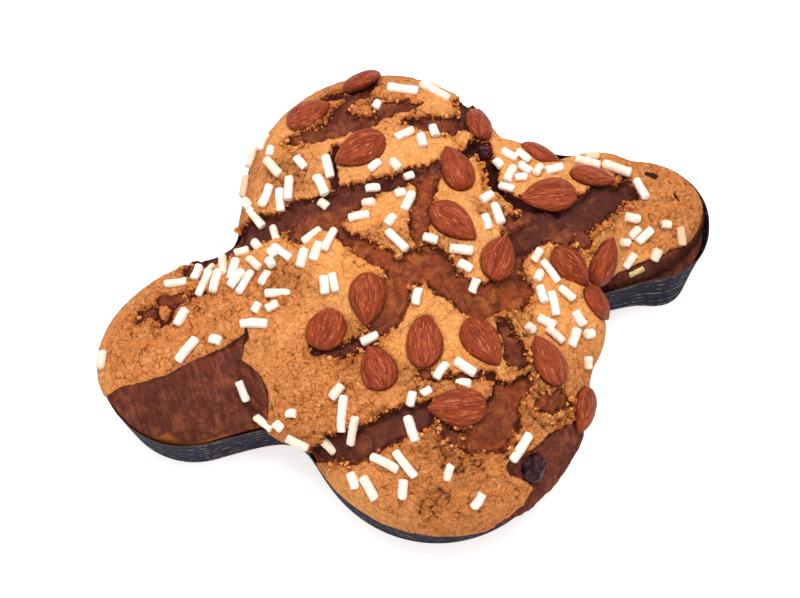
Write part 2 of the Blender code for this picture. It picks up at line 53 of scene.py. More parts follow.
# Its sizes in mm, how many points go round it, and the heights at which its wall is drawn.
MM = 0.001
CASE_HEIGHT = 45
CASE_FLARE = 4
CASE_CARD = 0.45
CASE_CORNER_BLEND = 9
CASE_POINTS = 420
CASE_STEPS = (0, 0.6, 2, 6, 11, 17, 23, 29, 34, 38.5, 42, 44, 45)

# How the wall waves towards its rim, in mm: each wave's length along and up the wall, and its swing.
CASE_WAVES = ((21, 60, 0.8), (6, 25, 0.175))

# Each lobe of the case's base in mm: root x and y, tip centre x and y, root and tip radius.
LOBES = {
    "tail": (0, 0, -109, -1, 42, 38),
    "head": (13, 24, 121.5, -4.8, 46, 26.2),
    "near": (0, 0, -2.5, -54.5, 62, 61.5),
    "far": (0, 0, 0.5, 48, 59, 59),
}

# A corner that the fold leaves at the foot of the wall, under the head: place, reach and depth in mm.
FOOT_CORNER = (129, -36)
FOOT_CORNER_REACH = 14
FOOT_CORNER_DEPTH = 5


def lobe_distance(x, y, lobe):
    """Distance in mm from points to a lobe's outline, negative inside."""
    root_x, root_y, tip_x, tip_y, root_r, tip_r = lobe
    along_x, along_y = tip_x - root_x, tip_y - root_y
    share = ((x - root_x) * along_x + (y - root_y) * along_y) / (along_x**2 + along_y**2)
    share = np.clip(share, 0, 1)
    off = np.hypot(x - root_x - share * along_x, y - root_y - share * along_y)
    return off - (root_r + (tip_r - root_r) * share)


def case_distance(x, y):
    """Distance in mm to the outline of the case's base, with its inner corners rounded."""
    blend = CASE_CORNER_BLEND
    return -blend * np.log(sum(np.exp(-lobe_distance(x, y, lobe) / blend) for lobe in LOBES.values()))


def out_of_case(x, y):
    """How far points of the plan lie outside the case's base in mm, and the way straight out of it."""
    slope_x = (case_distance(x + 1, y) - case_distance(x - 1, y)) / 2
    slope_y = (case_distance(x, y + 1) - case_distance(x, y - 1)) / 2
    steepness = np.hypot(slope_x, slope_y).clip(0.05)
    return case_distance(x, y) / steepness, slope_x / steepness, slope_y / steepness


def base_outline(count, rays=720):
    """Evenly spaced points round the case's base in mm, and how far round each one is."""
    turns = 2 * math.pi * np.arange(rays) / rays
    inner, outer = np.zeros(rays), np.full(rays, 200.0)
    for _ in range(16):
        middle = (inner + outer) / 2
        inside = case_distance(middle * np.cos(turns), middle * np.sin(turns)) < 0
        inner, outer = np.where(inside, middle, inner), np.where(inside, outer, middle)
    ring = np.column_stack((inner * np.cos(turns), inner * np.sin(turns)))
    closed = np.vstack((ring, ring[:1]))
    walked = np.concatenate(([0], np.cumsum(np.linalg.norm(np.diff(closed, axis=0), axis=1))))
    stops = walked[-1] * np.arange(count) / count
    return np.column_stack([np.interp(stops, walked, closed[:, axis]) for axis in (0, 1)]), walked[-1]


def wall_offset(x, y, height):
    """How far out the wall stands from its base outline at a height, in mm."""
    rise = np.clip(height / CASE_HEIGHT, 0, 1)
    away = np.hypot(x - FOOT_CORNER[0], y - FOOT_CORNER[1]) / FOOT_CORNER_REACH
    return CASE_FLARE * rise + FOOT_CORNER_DEPTH * (1 - rise) * np.exp(-(away**2))


def raised_in_rings(name, outline, stations, waves=()):
    """A block raised through rings of the case's outline, at offsets and heights in mm."""
    bpy.ops.mesh.primitive_circle_add(vertices=len(outline), radius=0.1, fill_type="NGON")
    piece = bpy.context.object
    piece.name = name
    order = piece.data.attributes.new("place", "INT", "POINT")
    order.data.foreach_set("value", np.arange(len(outline), dtype=np.int32))
    outward = np.column_stack(out_of_case(*outline.T)[1:])
    bpy.ops.object.mode_set(mode="EDIT")
    for step, (offset, height) in enumerate(stations):
        if step:
            bpy.ops.mesh.extrude_region_move()
        shift = offset + wall_offset(*outline.T, height)
        for length, tall, swing in waves:
            wave = [noise.noise((x / length, y / length, height / tall)) for x, y in outline]
            shift = shift + swing * (height / CASE_HEIGHT) ** 2 * np.array(wave)
        ring = outline + outward * shift[:, None]
        edit = bmesh.from_edit_mesh(piece.data)
        place = edit.verts.layers.int["place"]
        for vertex in edit.verts:
            if vertex.select:
                x, y = ring[vertex[place]]
                vertex.co = Vector((x, y, height)) * MM
        bmesh.update_edit_mesh(piece.data)
    return piece


def finished(piece, kind, **settings):
    """Adds a modifier to a piece and applies it."""
    modifier = piece.modifiers.new(kind.title(), kind)
    for name, value in settings.items():
        setattr(modifier, name, value)
    bpy.context.view_layer.objects.active = piece
    bpy.ops.object.modifier_apply(modifier=modifier.name)


def colour(text):
    """A linear colour from an sRGB hex value."""
    parts = [int(text[place:place + 2], 16) / 255 for place in (1, 3, 5)]
    linear = [part / 12.92 if part <= 0.04045 else ((part + 0.055) / 1.055) ** 2.4 for part in parts]
    return (*linear, 1)


def node(tree, kind, inputs=None, out=0, **settings):
    """An output of a new shader node, which is made with its settings, its values and its links."""
    made = tree.nodes.new(kind)
    for name, value in settings.items():
        setattr(made, name, value)
    for name, value in (inputs or {}).items():
        if isinstance(value, bpy.types.NodeSocket):
            tree.links.new(value, made.inputs[name])
        else:
            made.inputs[name].default_value = value
    return made.outputs[out]


def blank_material(name, roughness, specular):
    """A material with its shader, and the tree to build its pattern in."""
    made = bpy.data.materials.new(name)
    made.use_nodes = True
    shader = made.node_tree.nodes["Principled BSDF"]
    shader.inputs["Roughness"].default_value = roughness
    shader.inputs["Specular IOR Level"].default_value = specular
    return made, made.node_tree, shader


def coated(tree, base, coats):
    """A colour under coats of others, each laid on up to its share as its value goes from low to high."""
    for value, low, high, share, tint, *places in coats:
        laid = node(tree, "ShaderNodeMapRange", {0: value, 1: low, 2: high, 4: share},
                    interpolation_type="SMOOTHSTEP")
        for place in places:
            laid = node(tree, "ShaderNodeMath", {0: laid, 1: place}, operation="MULTIPLY")
        tint = colour(tint) if isinstance(tint, str) else tint
        base = node(tree, "ShaderNodeMix", {0: laid, 6: base, 7: tint}, 2, data_type="RGBA")
    return base


def dressed(tree, shader, base, depth, heights, strength=1.0):
    """Gives a surface its colour, and fine relief of a depth in mm from heights with their weights."""
    tree.links.new(base, shader.inputs["Base Color"])
    total = 0.0
    for value, weight in heights:
        total = node(tree, "ShaderNodeMath", {0: value, 1: weight, 2: total}, operation="MULTIPLY_ADD")
    bump = node(tree, "ShaderNodeBump", {"Height": total, "Strength": strength, "Distance": depth * MM})
    tree.links.new(bump, shader.inputs["Normal"])


def printed_card():
    """Matt navy ink on card, with rows of short broken gold strokes and a bare fibre edge."""
    made, tree, shader = blank_material("printed_card", roughness=0.7, specular=0.03)
    row_gap, stroke_length, wave_turn = 6.5, 2.4, math.pi / 10
    print_end, raw_edge = CASE_HEIGHT - 1.6, CASE_HEIGHT - 0.7
    place = node(tree, "ShaderNodeAttribute", out="Vector", attribute_name="card")
    up = node(tree, "ShaderNodeSeparateXYZ", {0: place}, "Y")
    wavy = {"Vector": place, "Scale": wave_turn / row_gap, "Distortion": 1.6, "Detail": 1.0,
            "Detail Scale": 0.5}
    rows = node(tree, "ShaderNodeTexWave", wavy, bands_direction="Y")
    stretch = (1 / stroke_length, 3 / row_gap, 1)
    stretched = node(tree, "ShaderNodeMapping", {"Vector": place, "Scale": stretch})
    dashes = node(tree, "ShaderNodeTexNoise", {"Vector": stretched, "Scale": 1.0, "Detail": 1.5})
    worn = node(tree, "ShaderNodeTexNoise", {"Vector": place, "Scale": 0.08, "Detail": 3.0})
    fibre = node(tree, "ShaderNodeTexNoise", {"Vector": place, "Scale": 0.6, "Detail": 4.0})
    stroke = node(tree, "ShaderNodeMapRange", {0: rows, 1: 0.88, 2: 0.98}, interpolation_type="SMOOTHSTEP")
    dash = node(tree, "ShaderNodeMapRange", {0: dashes, 1: 0.49, 2: 0.56}, interpolation_type="SMOOTHSTEP")
    card = coated(tree, colour("#151325"), (
        (worn, 0.35, 0.7, 1, "#201C30"),
        (worn, 0.3, 0.6, 0.65, "#A89A78", stroke, dash),
        (fibre, 0.66, 0.76, 0.15, "#8D8272"),
        (up, print_end, raw_edge, 1, "#46342F"),
    ))
    dressed(tree, shader, card, 0.3, ((fibre, 1.0), (worn, 1.5)), 0.4)
    return made


case_outline, way_round = base_outline(CASE_POINTS)
case = raised_in_rings("baking_case", case_outline, [(0, height) for height in CASE_STEPS], CASE_WAVES)
bpy.ops.mesh.delete(type="ONLY_FACE")
bpy.ops.object.mode_set(mode="OBJECT")
card_place = case.data.attributes.new("card", "FLOAT_VECTOR", "CORNER")
places = [item.value for item in case.data.attributes["place"].data]
for face in case.data.polygons:
    corners = [places[vertex] for vertex in face.vertices]
    wraps = max(corners) - min(corners) > CASE_POINTS / 2
    for loop, corner in zip(face.loop_indices, corners):
        walked = (corner + CASE_POINTS * (wraps and corner < CASE_POINTS / 2)) * way_round / CASE_POINTS
        height = case.data.vertices[case.data.loops[loop].vertex_index].co.z / MM
        card_place.data[loop].vector = (walked, height, 0)
finished(case, "SOLIDIFY", thickness=CASE_CARD * MM, offset=-1)
bpy.ops.object.shade_smooth_by_angle(angle=math.radians(40))
case.data.materials.append(printed_card())
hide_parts("paper_case")
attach(case, "root")

# The loaf
# A rich yeast dough laid in the case as two crossed pieces, with the almond glaze brushed on top.
# In the oven the lumps run together, and the glaze sets and tears into plates over brown crust.

# It stays clear of the case by a gap, inside paper as thick as the solids have it, in mm.
CASE_PAPER = 0.8
GAP = 0.4

# Each lump of the dough: its centre and its half sizes in mm.
LUMPS = {
    "tail": ((-90, 1, 37), (66, 47, 29)),
    "tail_root": ((-50, 5, 42), (60, 46, 36)),
    "head_root": ((60, 5, 42), (60, 39, 34)),
    "head": ((104, 1, 38), (50, 33, 19)),
    "head_far": ((98, 19.5, 42.5), (31, 20.5, 12)),
    "near_wing": ((0, -55, 44), (69, 69, 42)),
    "near_left": ((-44, -28, 50), (46, 40, 30)),
    "near_right": ((31, -50, 46), (44, 38, 30)),
    "near_shoulder": ((49, -36, 44), (37, 38, 30)),
    "far_wing": ((3, 46.5, 42), (67, 65, 43)),
    "far_left": ((-36, 44, 42), (33, 34, 32)),
    "far_shoulder": ((53, 31, 44), (34, 30, 25)),
    "middle": ((0, 0, 44), (68, 62, 47)),
}

# What fills the case below them: how far out and how high, in mm.
FILLING = ((1, -3), (1, 30), (-1, 37))
FILLING_POINTS = 180

# The skin's fineness in mm and how often it is smoothed. Below the cut it is a plain wall in a few
# steps, out of sight. Over the rim the case stops holding it in, across so many mm of height.
FINENESS = 1
SMOOTHING = 31
CUT_HEIGHT = 30
WALL_STEPS = 3
OVERHANG_SLOPE = 1.6

# Bare crust between the plates of glaze: depth in mm, how dark it is, then x, y and half width.
# Above about 0.85 the crust goes near black: painted shade deep in the cracks and pits.
CRUST = {
    "far_band": (3.5, 0.75, (-96, 40, 3), (-84, 41, 5), (-72, 44, 7), (-58, 44, 6), (-45, 42, 6),
                 (-30, 40, 5), (-15, 40, 5), (0, 39, 3), (28, 40, 2.5)),
    "far_band_root": (3, 0.45, (-42, 34, 4), (-28, 33, 5), (-12, 35, 2)),
    "left_of_plate": (2.5, 0.1, (-27, 30, 4), (-24, 22, 2), (-20, 15, 3.5), (-8, 2, 4.5)),
    "right_of_plate": (2.5, 0.15, (24, 36, 4), (17, 25, 4), (12, 15, 4.5), (8, 9, 3)),
    "heart": (3, 0.2, (-12, -20, 6), (-6, -8, 6), (5, -5, 8), (12, -8, 8), (16, -18, 7),
              (22, -27, 8), (32, -27, 7), (44, -27, 8)),
    "beside_head_almond": (2.5, 0.5, (54, 5, 3), (64, 7, 2.5)),
    "left_of_heart": (2.5, 0.5, (-26, -26, 3), (-14, -23, 5)),
    "under_left_almonds": (2.5, 0.7, (-53, -26, 1.5), (-40, -29, 2.5), (-28, -30, 2.5)),
    "neck": (3.5, 0.85, (54, -4, 7), (66, -3, 6), (80, -2, 8), (95, 3, 9), (107, 8, 8), (114, 10, 5)),
    "neck_near": (2.5, 0.5, (84, -11, 3), (74, -9, 3)),
    "beside_neck": (2, 0.5, (50, -12, 2.5), (48, -19, 2)),
    "shoulder_crack": (5, 0.95, (54, 48, 5), (54, 38, 2.5), (53, 30, 2), (56, 22, 1.5), (60, 14, 1.5),
                       (76, 4, 2.5)),
    "far_shoulder_crack": (4, 0.9, (50, 60, 3), (55, 66, 4), (57, 76, 3), (58, 83, 1.5)),
    "crack_link": (4, 0.95, (44, 45, 2), (50, 47, 4)),
    "far_top": (3, 0.6, (-30, 79, 2), (-18, 77, 4.5), (-6, 77, 7), (6, 74, 3)),
    "far_top_fork": (2.5, 0.7, (-8, 84, 2.5), (0, 88, 2), (10, 89, 2)),
    "far_rim_crack": (4, 0.7, (-9, 96, 1.5), (3, 94, 2.5), (9, 92, 3), (16, 97, 1.5)),
    "far_top_right": (3, 0.6, (15, 79, 5), (28, 78, 3.5)),
    "far_right": (3, 0.5, (23, 67, 2.5), (35, 65, 4), (47, 62, 4.5)),
    "beside_far_almond": (4, 0.9, (-15, 64, 2), (-19, 57, 2), (-19, 48, 2)),
    "near_heart": (3.5, 0.5, (33, -42, 4), (34, -50, 5), (34, -58, 4.5)),
    "near_crack": (2, 0.5, (-10, -54, 1.5), (2, -61, 1), (18, -65, 1.5)),
    "near_band": (4, 0.75, (-66, -65, 3), (-50, -72, 7), (-35, -72, 7.5), (-22, -72, 6.5), (-12, -70, 4)),
    "near_valley": (3.5, 0.2, (0, -89, 4), (10, -88, 8), (18, -83, 8), (23, -75, 6), (35, -70, 2.5)),
    "near_hole": (3, 0.6, (-11, -80, 2), (-4, -86, 2.5)),
    "near_right_patch": (2.5, 0.35, (40, -83, 4.5), (48, -80, 4)),
    "near_right_side": (1.5, 0.62, (16, -105, 3), (26, -107, 7), (40, -106, 11), (56, -100, 10)),
    "near_right_rim": (1, 0.6, (36, -114, 7), (26, -117.5, 5), (17, -121.5, 2.2), (8, -124, 1.4),
                       (-6, -125.5, 0.6)),
    "tail_side": (1, 0.66, (-147, -26, 20), (-120, -34, 24), (-103, -32, 24)),
    "tail_corner": (1, 0.66, (-97, -14, 7), (-81, -7, 1.5)),
    "tail_waist": (1, 0.7, (-98, -27, 9), (-96, -40, 9)),
    "tail_crease": (1.5, 0.85, (-79, -4, 0.5), (-87, -16, 1), (-91, -29, 1.5), (-88, -40, 1)),
    "tail_hole": (3, 0.6, (-123, 22, 2), (-119, 22, 3)),
    "tail_patch": (1.5, 0.4, (-112, 27, 3), (-103, 24, 3)),
    "tail_crack": (2, 0.6, (-116, 15, 1), (-105, 21, 1), (-95, 24, 1)),
    "head_side": (1, 0.8, (84, -35, 4), (100, -34, 8), (118, -34, 10), (134, -33, 10), (148, -24, 8)),
    "head_pit": (1.5, 0.95, (129, 16, 1.1), (132, 14, 1.3)),
    "head_far_pit": (1.5, 0.95, (138, 2, 0.7), (139, -1.5, 0.5)),
}

# In mm: how thick a plate of glaze is and how wide its edge, over what width the crust beside it
# sinks, how much wider it lies open than its path, and how far the path meanders. Crust no deeper
# than the last but one has clean edges, which wander less.
PLATE_THICKNESS = 1.5
PLATE_EDGE = 0.9
CRUST_SLOPE = 2.6
CRUST_WIDER = 0.9
CRUST_MEANDER = 2.6
CLEAN_EDGE_DEPTH = 1.5
CLEAN_EDGE_WILDNESS = 0.25

# Where the glaze is grainy with small pits and not smooth: x, y, reach in mm and how much.
GRAINY = {
    "tail": (-112, 5, 42, 1),
    "tail_root": (-72, 8, 26, 0.8),
    "near_left": (-55, -45, 36, 1),
    "near_front": (-5, -100, 44, 0.9),
    "near_right": (52, -78, 26, 0.9),
    "head": (132, 6, 34, 0.9),
    "far_left": (-52, 66, 26, 0.6),
    "far_rim": (10, 96, 34, 0.8),
    "far_middle": (-10, 62, 22, 0.4),
}

# Where the glaze has crumbled into loose grains beside the crust: x, y, reach in mm and how much.
CRUMBLED = {
    "left_of_heart": (-36, -29, 12, 1),
    "under_middle_almond": (-13, -57, 11, 1),
    "over_valley": (-11, -82, 13, 1),
    "left_of_valley": (-5, -94, 12, 1),
    "right_of_near_heart": (40, -42, 9, 1),
    "under_near_heart": (36, -66, 10, 1),
    "over_raisin": (40, -82, 15, 1),
    "near_front": (-22, -106, 8, 1),
    "under_valley": (20, -95, 9, 1),
    "plate_edge": (-8, 12, 9, 1),
    "near_plate_edge": (20, -3, 9, 1),
    "neck": (47, 16, 8, 1),
    "far_left_crack": (-36, 62, 12, 1),
    "tail_root": (-56, 12, 12, 1),
}

# The fine relief in mm: how it fades in above the rim, the glaze's bumps and pits, its crumbled
# grains with what lies between them, the curled edge of a plate, and the crust's folds and creases.
RELIEF_START = 4
BUMP_HEIGHT = 0.45
PIT_DEPTH = 0.8
GRAIN_SIZE = 4.6
GRAIN_HEIGHT = 1.9
GRAIN_GAP_DEPTH = 1.2
CURL_HEIGHT = 0.45
FOLD_HEIGHT = 1.3
CREASE_HEIGHT = 2.6


def unevenness(points, size, shift=0):
    """Soft unevenness between about -1 and 1 at points in mm, in bumps of a size in mm."""
    return np.array([noise.noise((x / size + shift, y / size, z / size)) for x, y, z in points])


def eased(share):
    """A share from 0 to 1 with a soft start and end."""
    share = np.clip(share, 0, 1)
    return share * share * (3 - 2 * share)


def crust_field(points):
    """At each point: how far the crust is sunk, how far off a plate's edge is, how ragged, and how dark."""
    meander = np.column_stack([unevenness(points, 15, shift) for shift in (3, 17)]) * CRUST_MEANDER
    torn = 1.9 * unevenness(points, 6, 31) + 1.7 * unevenness(points, 2.6, 43)
    sunk = np.zeros(len(points))
    edge, wild_edge = np.full(len(points), 50.0), np.full(len(points), 50.0)
    dark, weight = np.zeros(len(points)), np.full(len(points), 1e-6)
    for depth, darkness, *path in CRUST.values():
        is_clean = depth <= CLEAN_EDGE_DEPTH
        wildness = CLEAN_EDGE_WILDNESS if is_clean else 1
        places = points[:, :2] + meander * wildness
        off = np.full(len(points), 1000.0)
        for start, end in zip(path, path[1:]):
            along = np.array(end[:2]) - np.array(start[:2])
            share = ((places - start[:2]) @ along / (along @ along)).clip(0, 1)
            nearest = np.array(start[:2]) + share[:, None] * along
            half = start[2] + share * (end[2] - start[2])
            off = np.minimum(off, np.linalg.norm(places - nearest, axis=1) - half)
        off = off + (torn - CRUST_WIDER) * wildness
        plate = min(depth, PLATE_THICKNESS)
        step, slope = eased(0.5 - off / PLATE_EDGE), eased(-off / CRUST_SLOPE)
        sunk = np.maximum(sunk, plate * step + (depth - plate) * slope)
        near = np.exp(-np.clip(off, -4, 20) / 2)
        dark, weight = dark + near * darkness, weight + near
        edge = np.minimum(edge, off)
        if not is_clean:
            wild_edge = np.minimum(wild_edge, off)
    return sunk, edge, np.exp(-((wild_edge.clip(0, 20) / 4) ** 2)), dark / weight


def patches(points, rows, swing, size, shift):
    """How far each point lies in one of the patches, whose edges wander by a swing and a size in mm."""
    wander = swing * unevenness(points, size, shift)
    most = np.zeros(len(points))
    for x, y, reach, strength in rows.values():
        away = np.hypot(points[:, 0] - x, points[:, 1] - y) + wander
        most = np.maximum(most, strength * eased(1.5 - away / reach))
    return most


def broken_up(points, crumble):
    """Where the glaze is crumbled: how high each grain stands, and what lies between the grains."""
    rise, between = np.zeros(len(points)), np.zeros(len(points))
    for place in np.flatnonzero(crumble > 0.02):
        distances, centres = noise.voronoi(Vector(points[place] / GRAIN_SIZE))
        rise[place] = noise.noise(centres[0] * 5.3)
        between[place] = crumble[place] * math.exp(-(((distances[1] - distances[0]) / 0.12) ** 2))
    return rise, between


def gathered(name, parts):
    """Like pieces joined into one."""
    bpy.ops.object.select_all(action="DESELECT")
    for part in parts:
        part.select_set(True)
    bpy.context.view_layer.objects.active = parts[0]
    bpy.ops.object.join()
    parts[0].name = name
    bpy.ops.object.shade_smooth()
    return parts[0]


def raised_dough():
    """The dough after rising: the filled case and the lumps run together."""
    lumps = [raised_in_rings("filling", base_outline(FILLING_POINTS)[0], FILLING)]
    bpy.ops.object.mode_set(mode="OBJECT")
    for centre, half in LUMPS.values():
        bpy.ops.mesh.primitive_uv_sphere_add(segments=96, ring_count=48, radius=1,
                                             location=Vector(centre) * MM, scale=Vector(half) * MM)
        lumps.append(bpy.context.object)
    dough = gathered("colomba_loaf", lumps)
    bpy.ops.object.transform_apply(location=True, rotation=True, scale=True)
    finished(dough, "REMESH", mode="VOXEL", voxel_size=FINENESS * MM)
    finished(dough, "SMOOTH", iterations=SMOOTHING)
    return dough


def opened_below(loaf):
    """Leaves the fine dough above the cut and draws a plain wall and floor below it."""
    bpy.ops.object.mode_set(mode="EDIT")
    bpy.ops.mesh.select_all(action="SELECT")
    bpy.ops.mesh.bisect(plane_co=(0, 0, CUT_HEIGHT * MM), plane_no=(0, 0, 1), use_fill=False,
                        clear_inner=True)
    drop = (CUT_HEIGHT - CASE_PAPER - GAP) / WALL_STEPS
    for _ in range(WALL_STEPS):
        bpy.ops.mesh.extrude_region_move(TRANSFORM_OT_translate={"value": (0, 0, -drop * MM)})
    bpy.ops.mesh.edge_face_add()
    bpy.ops.mesh.select_all(action="SELECT")
    bpy.ops.mesh.normals_make_consistent(inside=False)
    bpy.ops.object.mode_set(mode="OBJECT")


def mesh_points(mesh):
    """The mesh's points in mm and the directions out of it."""
    points, normals = np.empty(len(mesh.vertices) * 3), np.empty(len(mesh.vertices) * 3)
    mesh.vertices.foreach_get("co", points)
    mesh.vertices.foreach_get("normal", normals)
    return points.reshape(-1, 3) / MM, normals.reshape(-1, 3)


def move_points(mesh, points):
    """Puts the mesh's points at new places in mm."""
    mesh.vertices.foreach_set("co", (points * MM).ravel())
    mesh.update()


def tucked_in(points):
    """The points, with those below the rim kept inside the case's wall."""
    height = points[:, 2]
    x, y = points[:, :2].T
    for _ in range(5):
        off, outward_x, outward_y = out_of_case(x, y)
        over = (off - wall_offset(x, y, height) + CASE_PAPER + GAP).clip(0)
        x, y = x - outward_x * over, y - outward_y * over
    share = eased((CASE_HEIGHT + GAP - height) / OVERHANG_SLOPE + 1)[:, None]
    return points + share * (np.column_stack((x, y, height)) - points)


def surface_tree(piece):
    """A search tree of a piece's faces."""
    mesh = piece.data
    places = [vertex.co.copy() for vertex in mesh.vertices]
    return BVHTree.FromPolygons(places, [face.vertices[:] for face in mesh.polygons])


loaf = raised_dough()
opened_below(loaf)
move_points(loaf.data, tucked_in(mesh_points(loaf.data)[0]))
whole_loaf = surface_tree(loaf)

points, normals = mesh_points(loaf.data)
sunk, edge, ragged, dark = crust_field(points)
above = np.clip((points[:, 2] - CASE_HEIGHT) / RELIEF_START, 0, 1)
grain = patches(points, GRAINY, 6, 14, 57)
crumbled = patches(points, CRUMBLED, 5, 8, 61)
patchy = eased(unevenness(points, 11, 67) * 2.5 + 0.4)
crumble = np.maximum(crumbled, patchy * ragged * eased(1.3 - edge / 4)) * (edge > -1.5)
on_glaze = eased(edge / PLATE_EDGE + 0.5)
bumps = BUMP_HEIGHT * unevenness(points, 10, 71) + (0.15 + 0.3 * grain) * unevenness(points, 3.4, 83)
pits = eased((unevenness(points, 2.7, 97) - 0.28) / 0.25) * grain * PIT_DEPTH
grain_rise, between_grains = broken_up(points, crumble)
rubble = (GRAIN_HEIGHT * grain_rise + unevenness(points, 3.4, 89)) * crumble
rubble = rubble - GRAIN_GAP_DEPTH * between_grains
curl = CURL_HEIGHT * np.exp(-((edge - 0.8) / 1.6) ** 2) * (edge > -0.5)
creases = np.abs(unevenness(points * (1, 0.6, 1), 8, 113))
folds = FOLD_HEIGHT * unevenness(points, 12, 103) + CREASE_HEIGHT * np.minimum(creases, 0.3) - 0.5
height = on_glaze * (bumps - pits + curl) + rubble + (1 - on_glaze) * folds - sunk
points = points + normals * (height * above)[:, None]
move_points(loaf.data, points)

# The almonds
# Whole almonds in their brown skins, pressed into the wet glaze by hand. They bake in, so each lies
# in a hollow with a dark line of shadow round it; their skins are ridged from the tip backwards.

# Each almond: x, y, heading, length and width, and how it rolls and pitches, in mm and degrees.
ALMONDS = (
    (12, 100, 40, 24, 14, -25, 0),
    (-18.5, 90, -8, 23, 15, 10, 0),
    (-3, 60, 195, 27, 16, 0, -6),
    (57.5, 62, 55, 22, 14, 0, 0),
    (37.5, 38.5, 98, 23, 15, 0, 0),
    (83, 40, -50, 24, 14, 0, 0),
    (100, 18.5, -12, 23, 13, -15, 0),
    (75, 13, 172, 27, 16.5, 0, 0),
    (26.5, 10.5, -57, 26, 16, 0, 0),
    (41.5, -10.3, 45, 25, 15.5, 0, 0),
    (74.5, -21.5, -58, 25.5, 13.5, 0, 0),
    (91.5, -21.5, 80, 25, 13.5, 0, 0),
    (81, -40, -35, 20, 12.5, 0, 0),
    (-23, -12.5, -112, 24, 16, 0, 0),
    (-43.5, -17, 50, 24, 17, 0, 12),
    (-4.5, -38.8, 72, 27.5, 15.5, 0, 0),
    (-28, -43.3, 95, 23, 15.5, 0, 0),
    (20.5, -48, -75, 26, 15.5, 8, 0),
    (47, -63, 104, 25.5, 15, 0, 0),
    (-0.8, -73, 164, 27, 16, 0, 0),
    (57.5, -86.5, 225, 23, 13.5, 0, 0),
)
ALMOND_THICKNESS = 9
ALMOND_RISE = 0.6


def resting_place(tree, x, y, heading, reach=3):
    """A frame on the loaf's top at x and y in mm: X along the heading, Z out of the surface."""
    normal = Vector()
    for dx, dy in ((reach, 0), (-reach, 0), (0, reach), (0, -reach), (0, 0)):
        point, slope, *_ = tree.ray_cast(Vector((x + dx, y + dy, 200)) * MM, Vector((0, 0, -1)))
        if point and point.z > (CASE_HEIGHT - 6) * MM:
            normal += slope
        elif (dx, dy) == (0, 0):
            return None
    normal.normalize()
    ahead = Vector((math.cos(math.radians(heading)), math.sin(math.radians(heading)), 0))
    side = normal.cross(ahead).normalized()
    turn = Matrix((side.cross(normal), side, normal)).transposed().to_4x4()
    return Matrix.Translation(point) @ turn


def almond_place(row):
    """Where an almond lies, half sunk in the loaf."""
    x, y, heading, _, _, roll, pitch = row
    turn = Matrix.Rotation(math.radians(roll), 4, "X") @ Matrix.Rotation(math.radians(pitch), 4, "Y")
    return resting_place(whole_loaf, x, y, heading) @ Matrix.Translation((0, 0, ALMOND_RISE * MM)) @ turn


def placed(points, matrix):
    """Points in mm moved by a matrix in metres."""
    turn = np.array(matrix)
    return points @ turn[:3, :3].T + turn[:3, 3] / MM


def almond_width(x):
    """An almond's width along its length, from -1 at its broad end to 1 at its tip."""
    return 1.06 - 0.3 * x - 0.12 * x * x


def almond_depth(x):
    """An almond's thickness along its length, in the same way."""
    return 1.02 - 0.15 * x


def pressed_hollow(points, place, half, width=np.ones_like, thickness=np.ones_like):
    """The loaf's points, with those inside a piece of fruit pressed down to its underside."""
    local = placed(points, place.inverted())
    x = local[:, 0] / half[0]
    slim, thick = width(x), thickness(x)
    y, z = local[:, 1] / (half[1] * slim), local[:, 2] / (half[2] * thick)
    under = np.sqrt(np.clip(1 - x * x - y * y, 0, 1))
    inside = (x * x + y * y < 1) & (np.abs(z) < under)
    local[:, 2] = np.where(inside, -under * thick * half[2], local[:, 2])
    return np.where(inside[:, None], placed(local, place), points)


def almond_skin():
    """Dry brown skin, paler along the ridges and darker between them, with painted shade on its underside.
    """
    made, tree, shader = blank_material("almond_skin", roughness=0.55, specular=0.1)
    grain = node(tree, "ShaderNodeAttribute", out="Vector", attribute_name="skin")
    sunk = node(tree, "ShaderNodeAttribute", out="Fac", attribute_name="sunk")
    broad = node(tree, "ShaderNodeTexNoise", {"Vector": grain, "Scale": 2.2, "Detail": 3.0})
    ridges = node(tree, "ShaderNodeTexNoise", {"Vector": grain, "Scale": 9.0, "Detail": 4.0,
                                               "Roughness": 0.65, "Distortion": 0.3})
    skin = coated(tree, colour("#7E3019"), (
        (broad, 0.35, 0.65, 1, "#974124"),
        (ridges, 0.47, 0.36, 0.8, "#581F10"),
        (ridges, 0.56, 0.63, 0.75, "#C37248"),
        # painted shade: darker towards the underside, where the almond sits in the loaf's hollow
        (sunk, 0.0, 0.7, 0.75, "#43170D"),
    ))
    dressed(tree, shader, skin, 0.5, ((ridges, 1.0),), 0.7)
    return made


def keep_value(mesh, name, values):
    """Keeps a value at each point of the mesh for its material."""
    layer = mesh.attributes.new(name, "FLOAT", "POINT")
    layer.data.foreach_set("value", values.astype(np.float32))


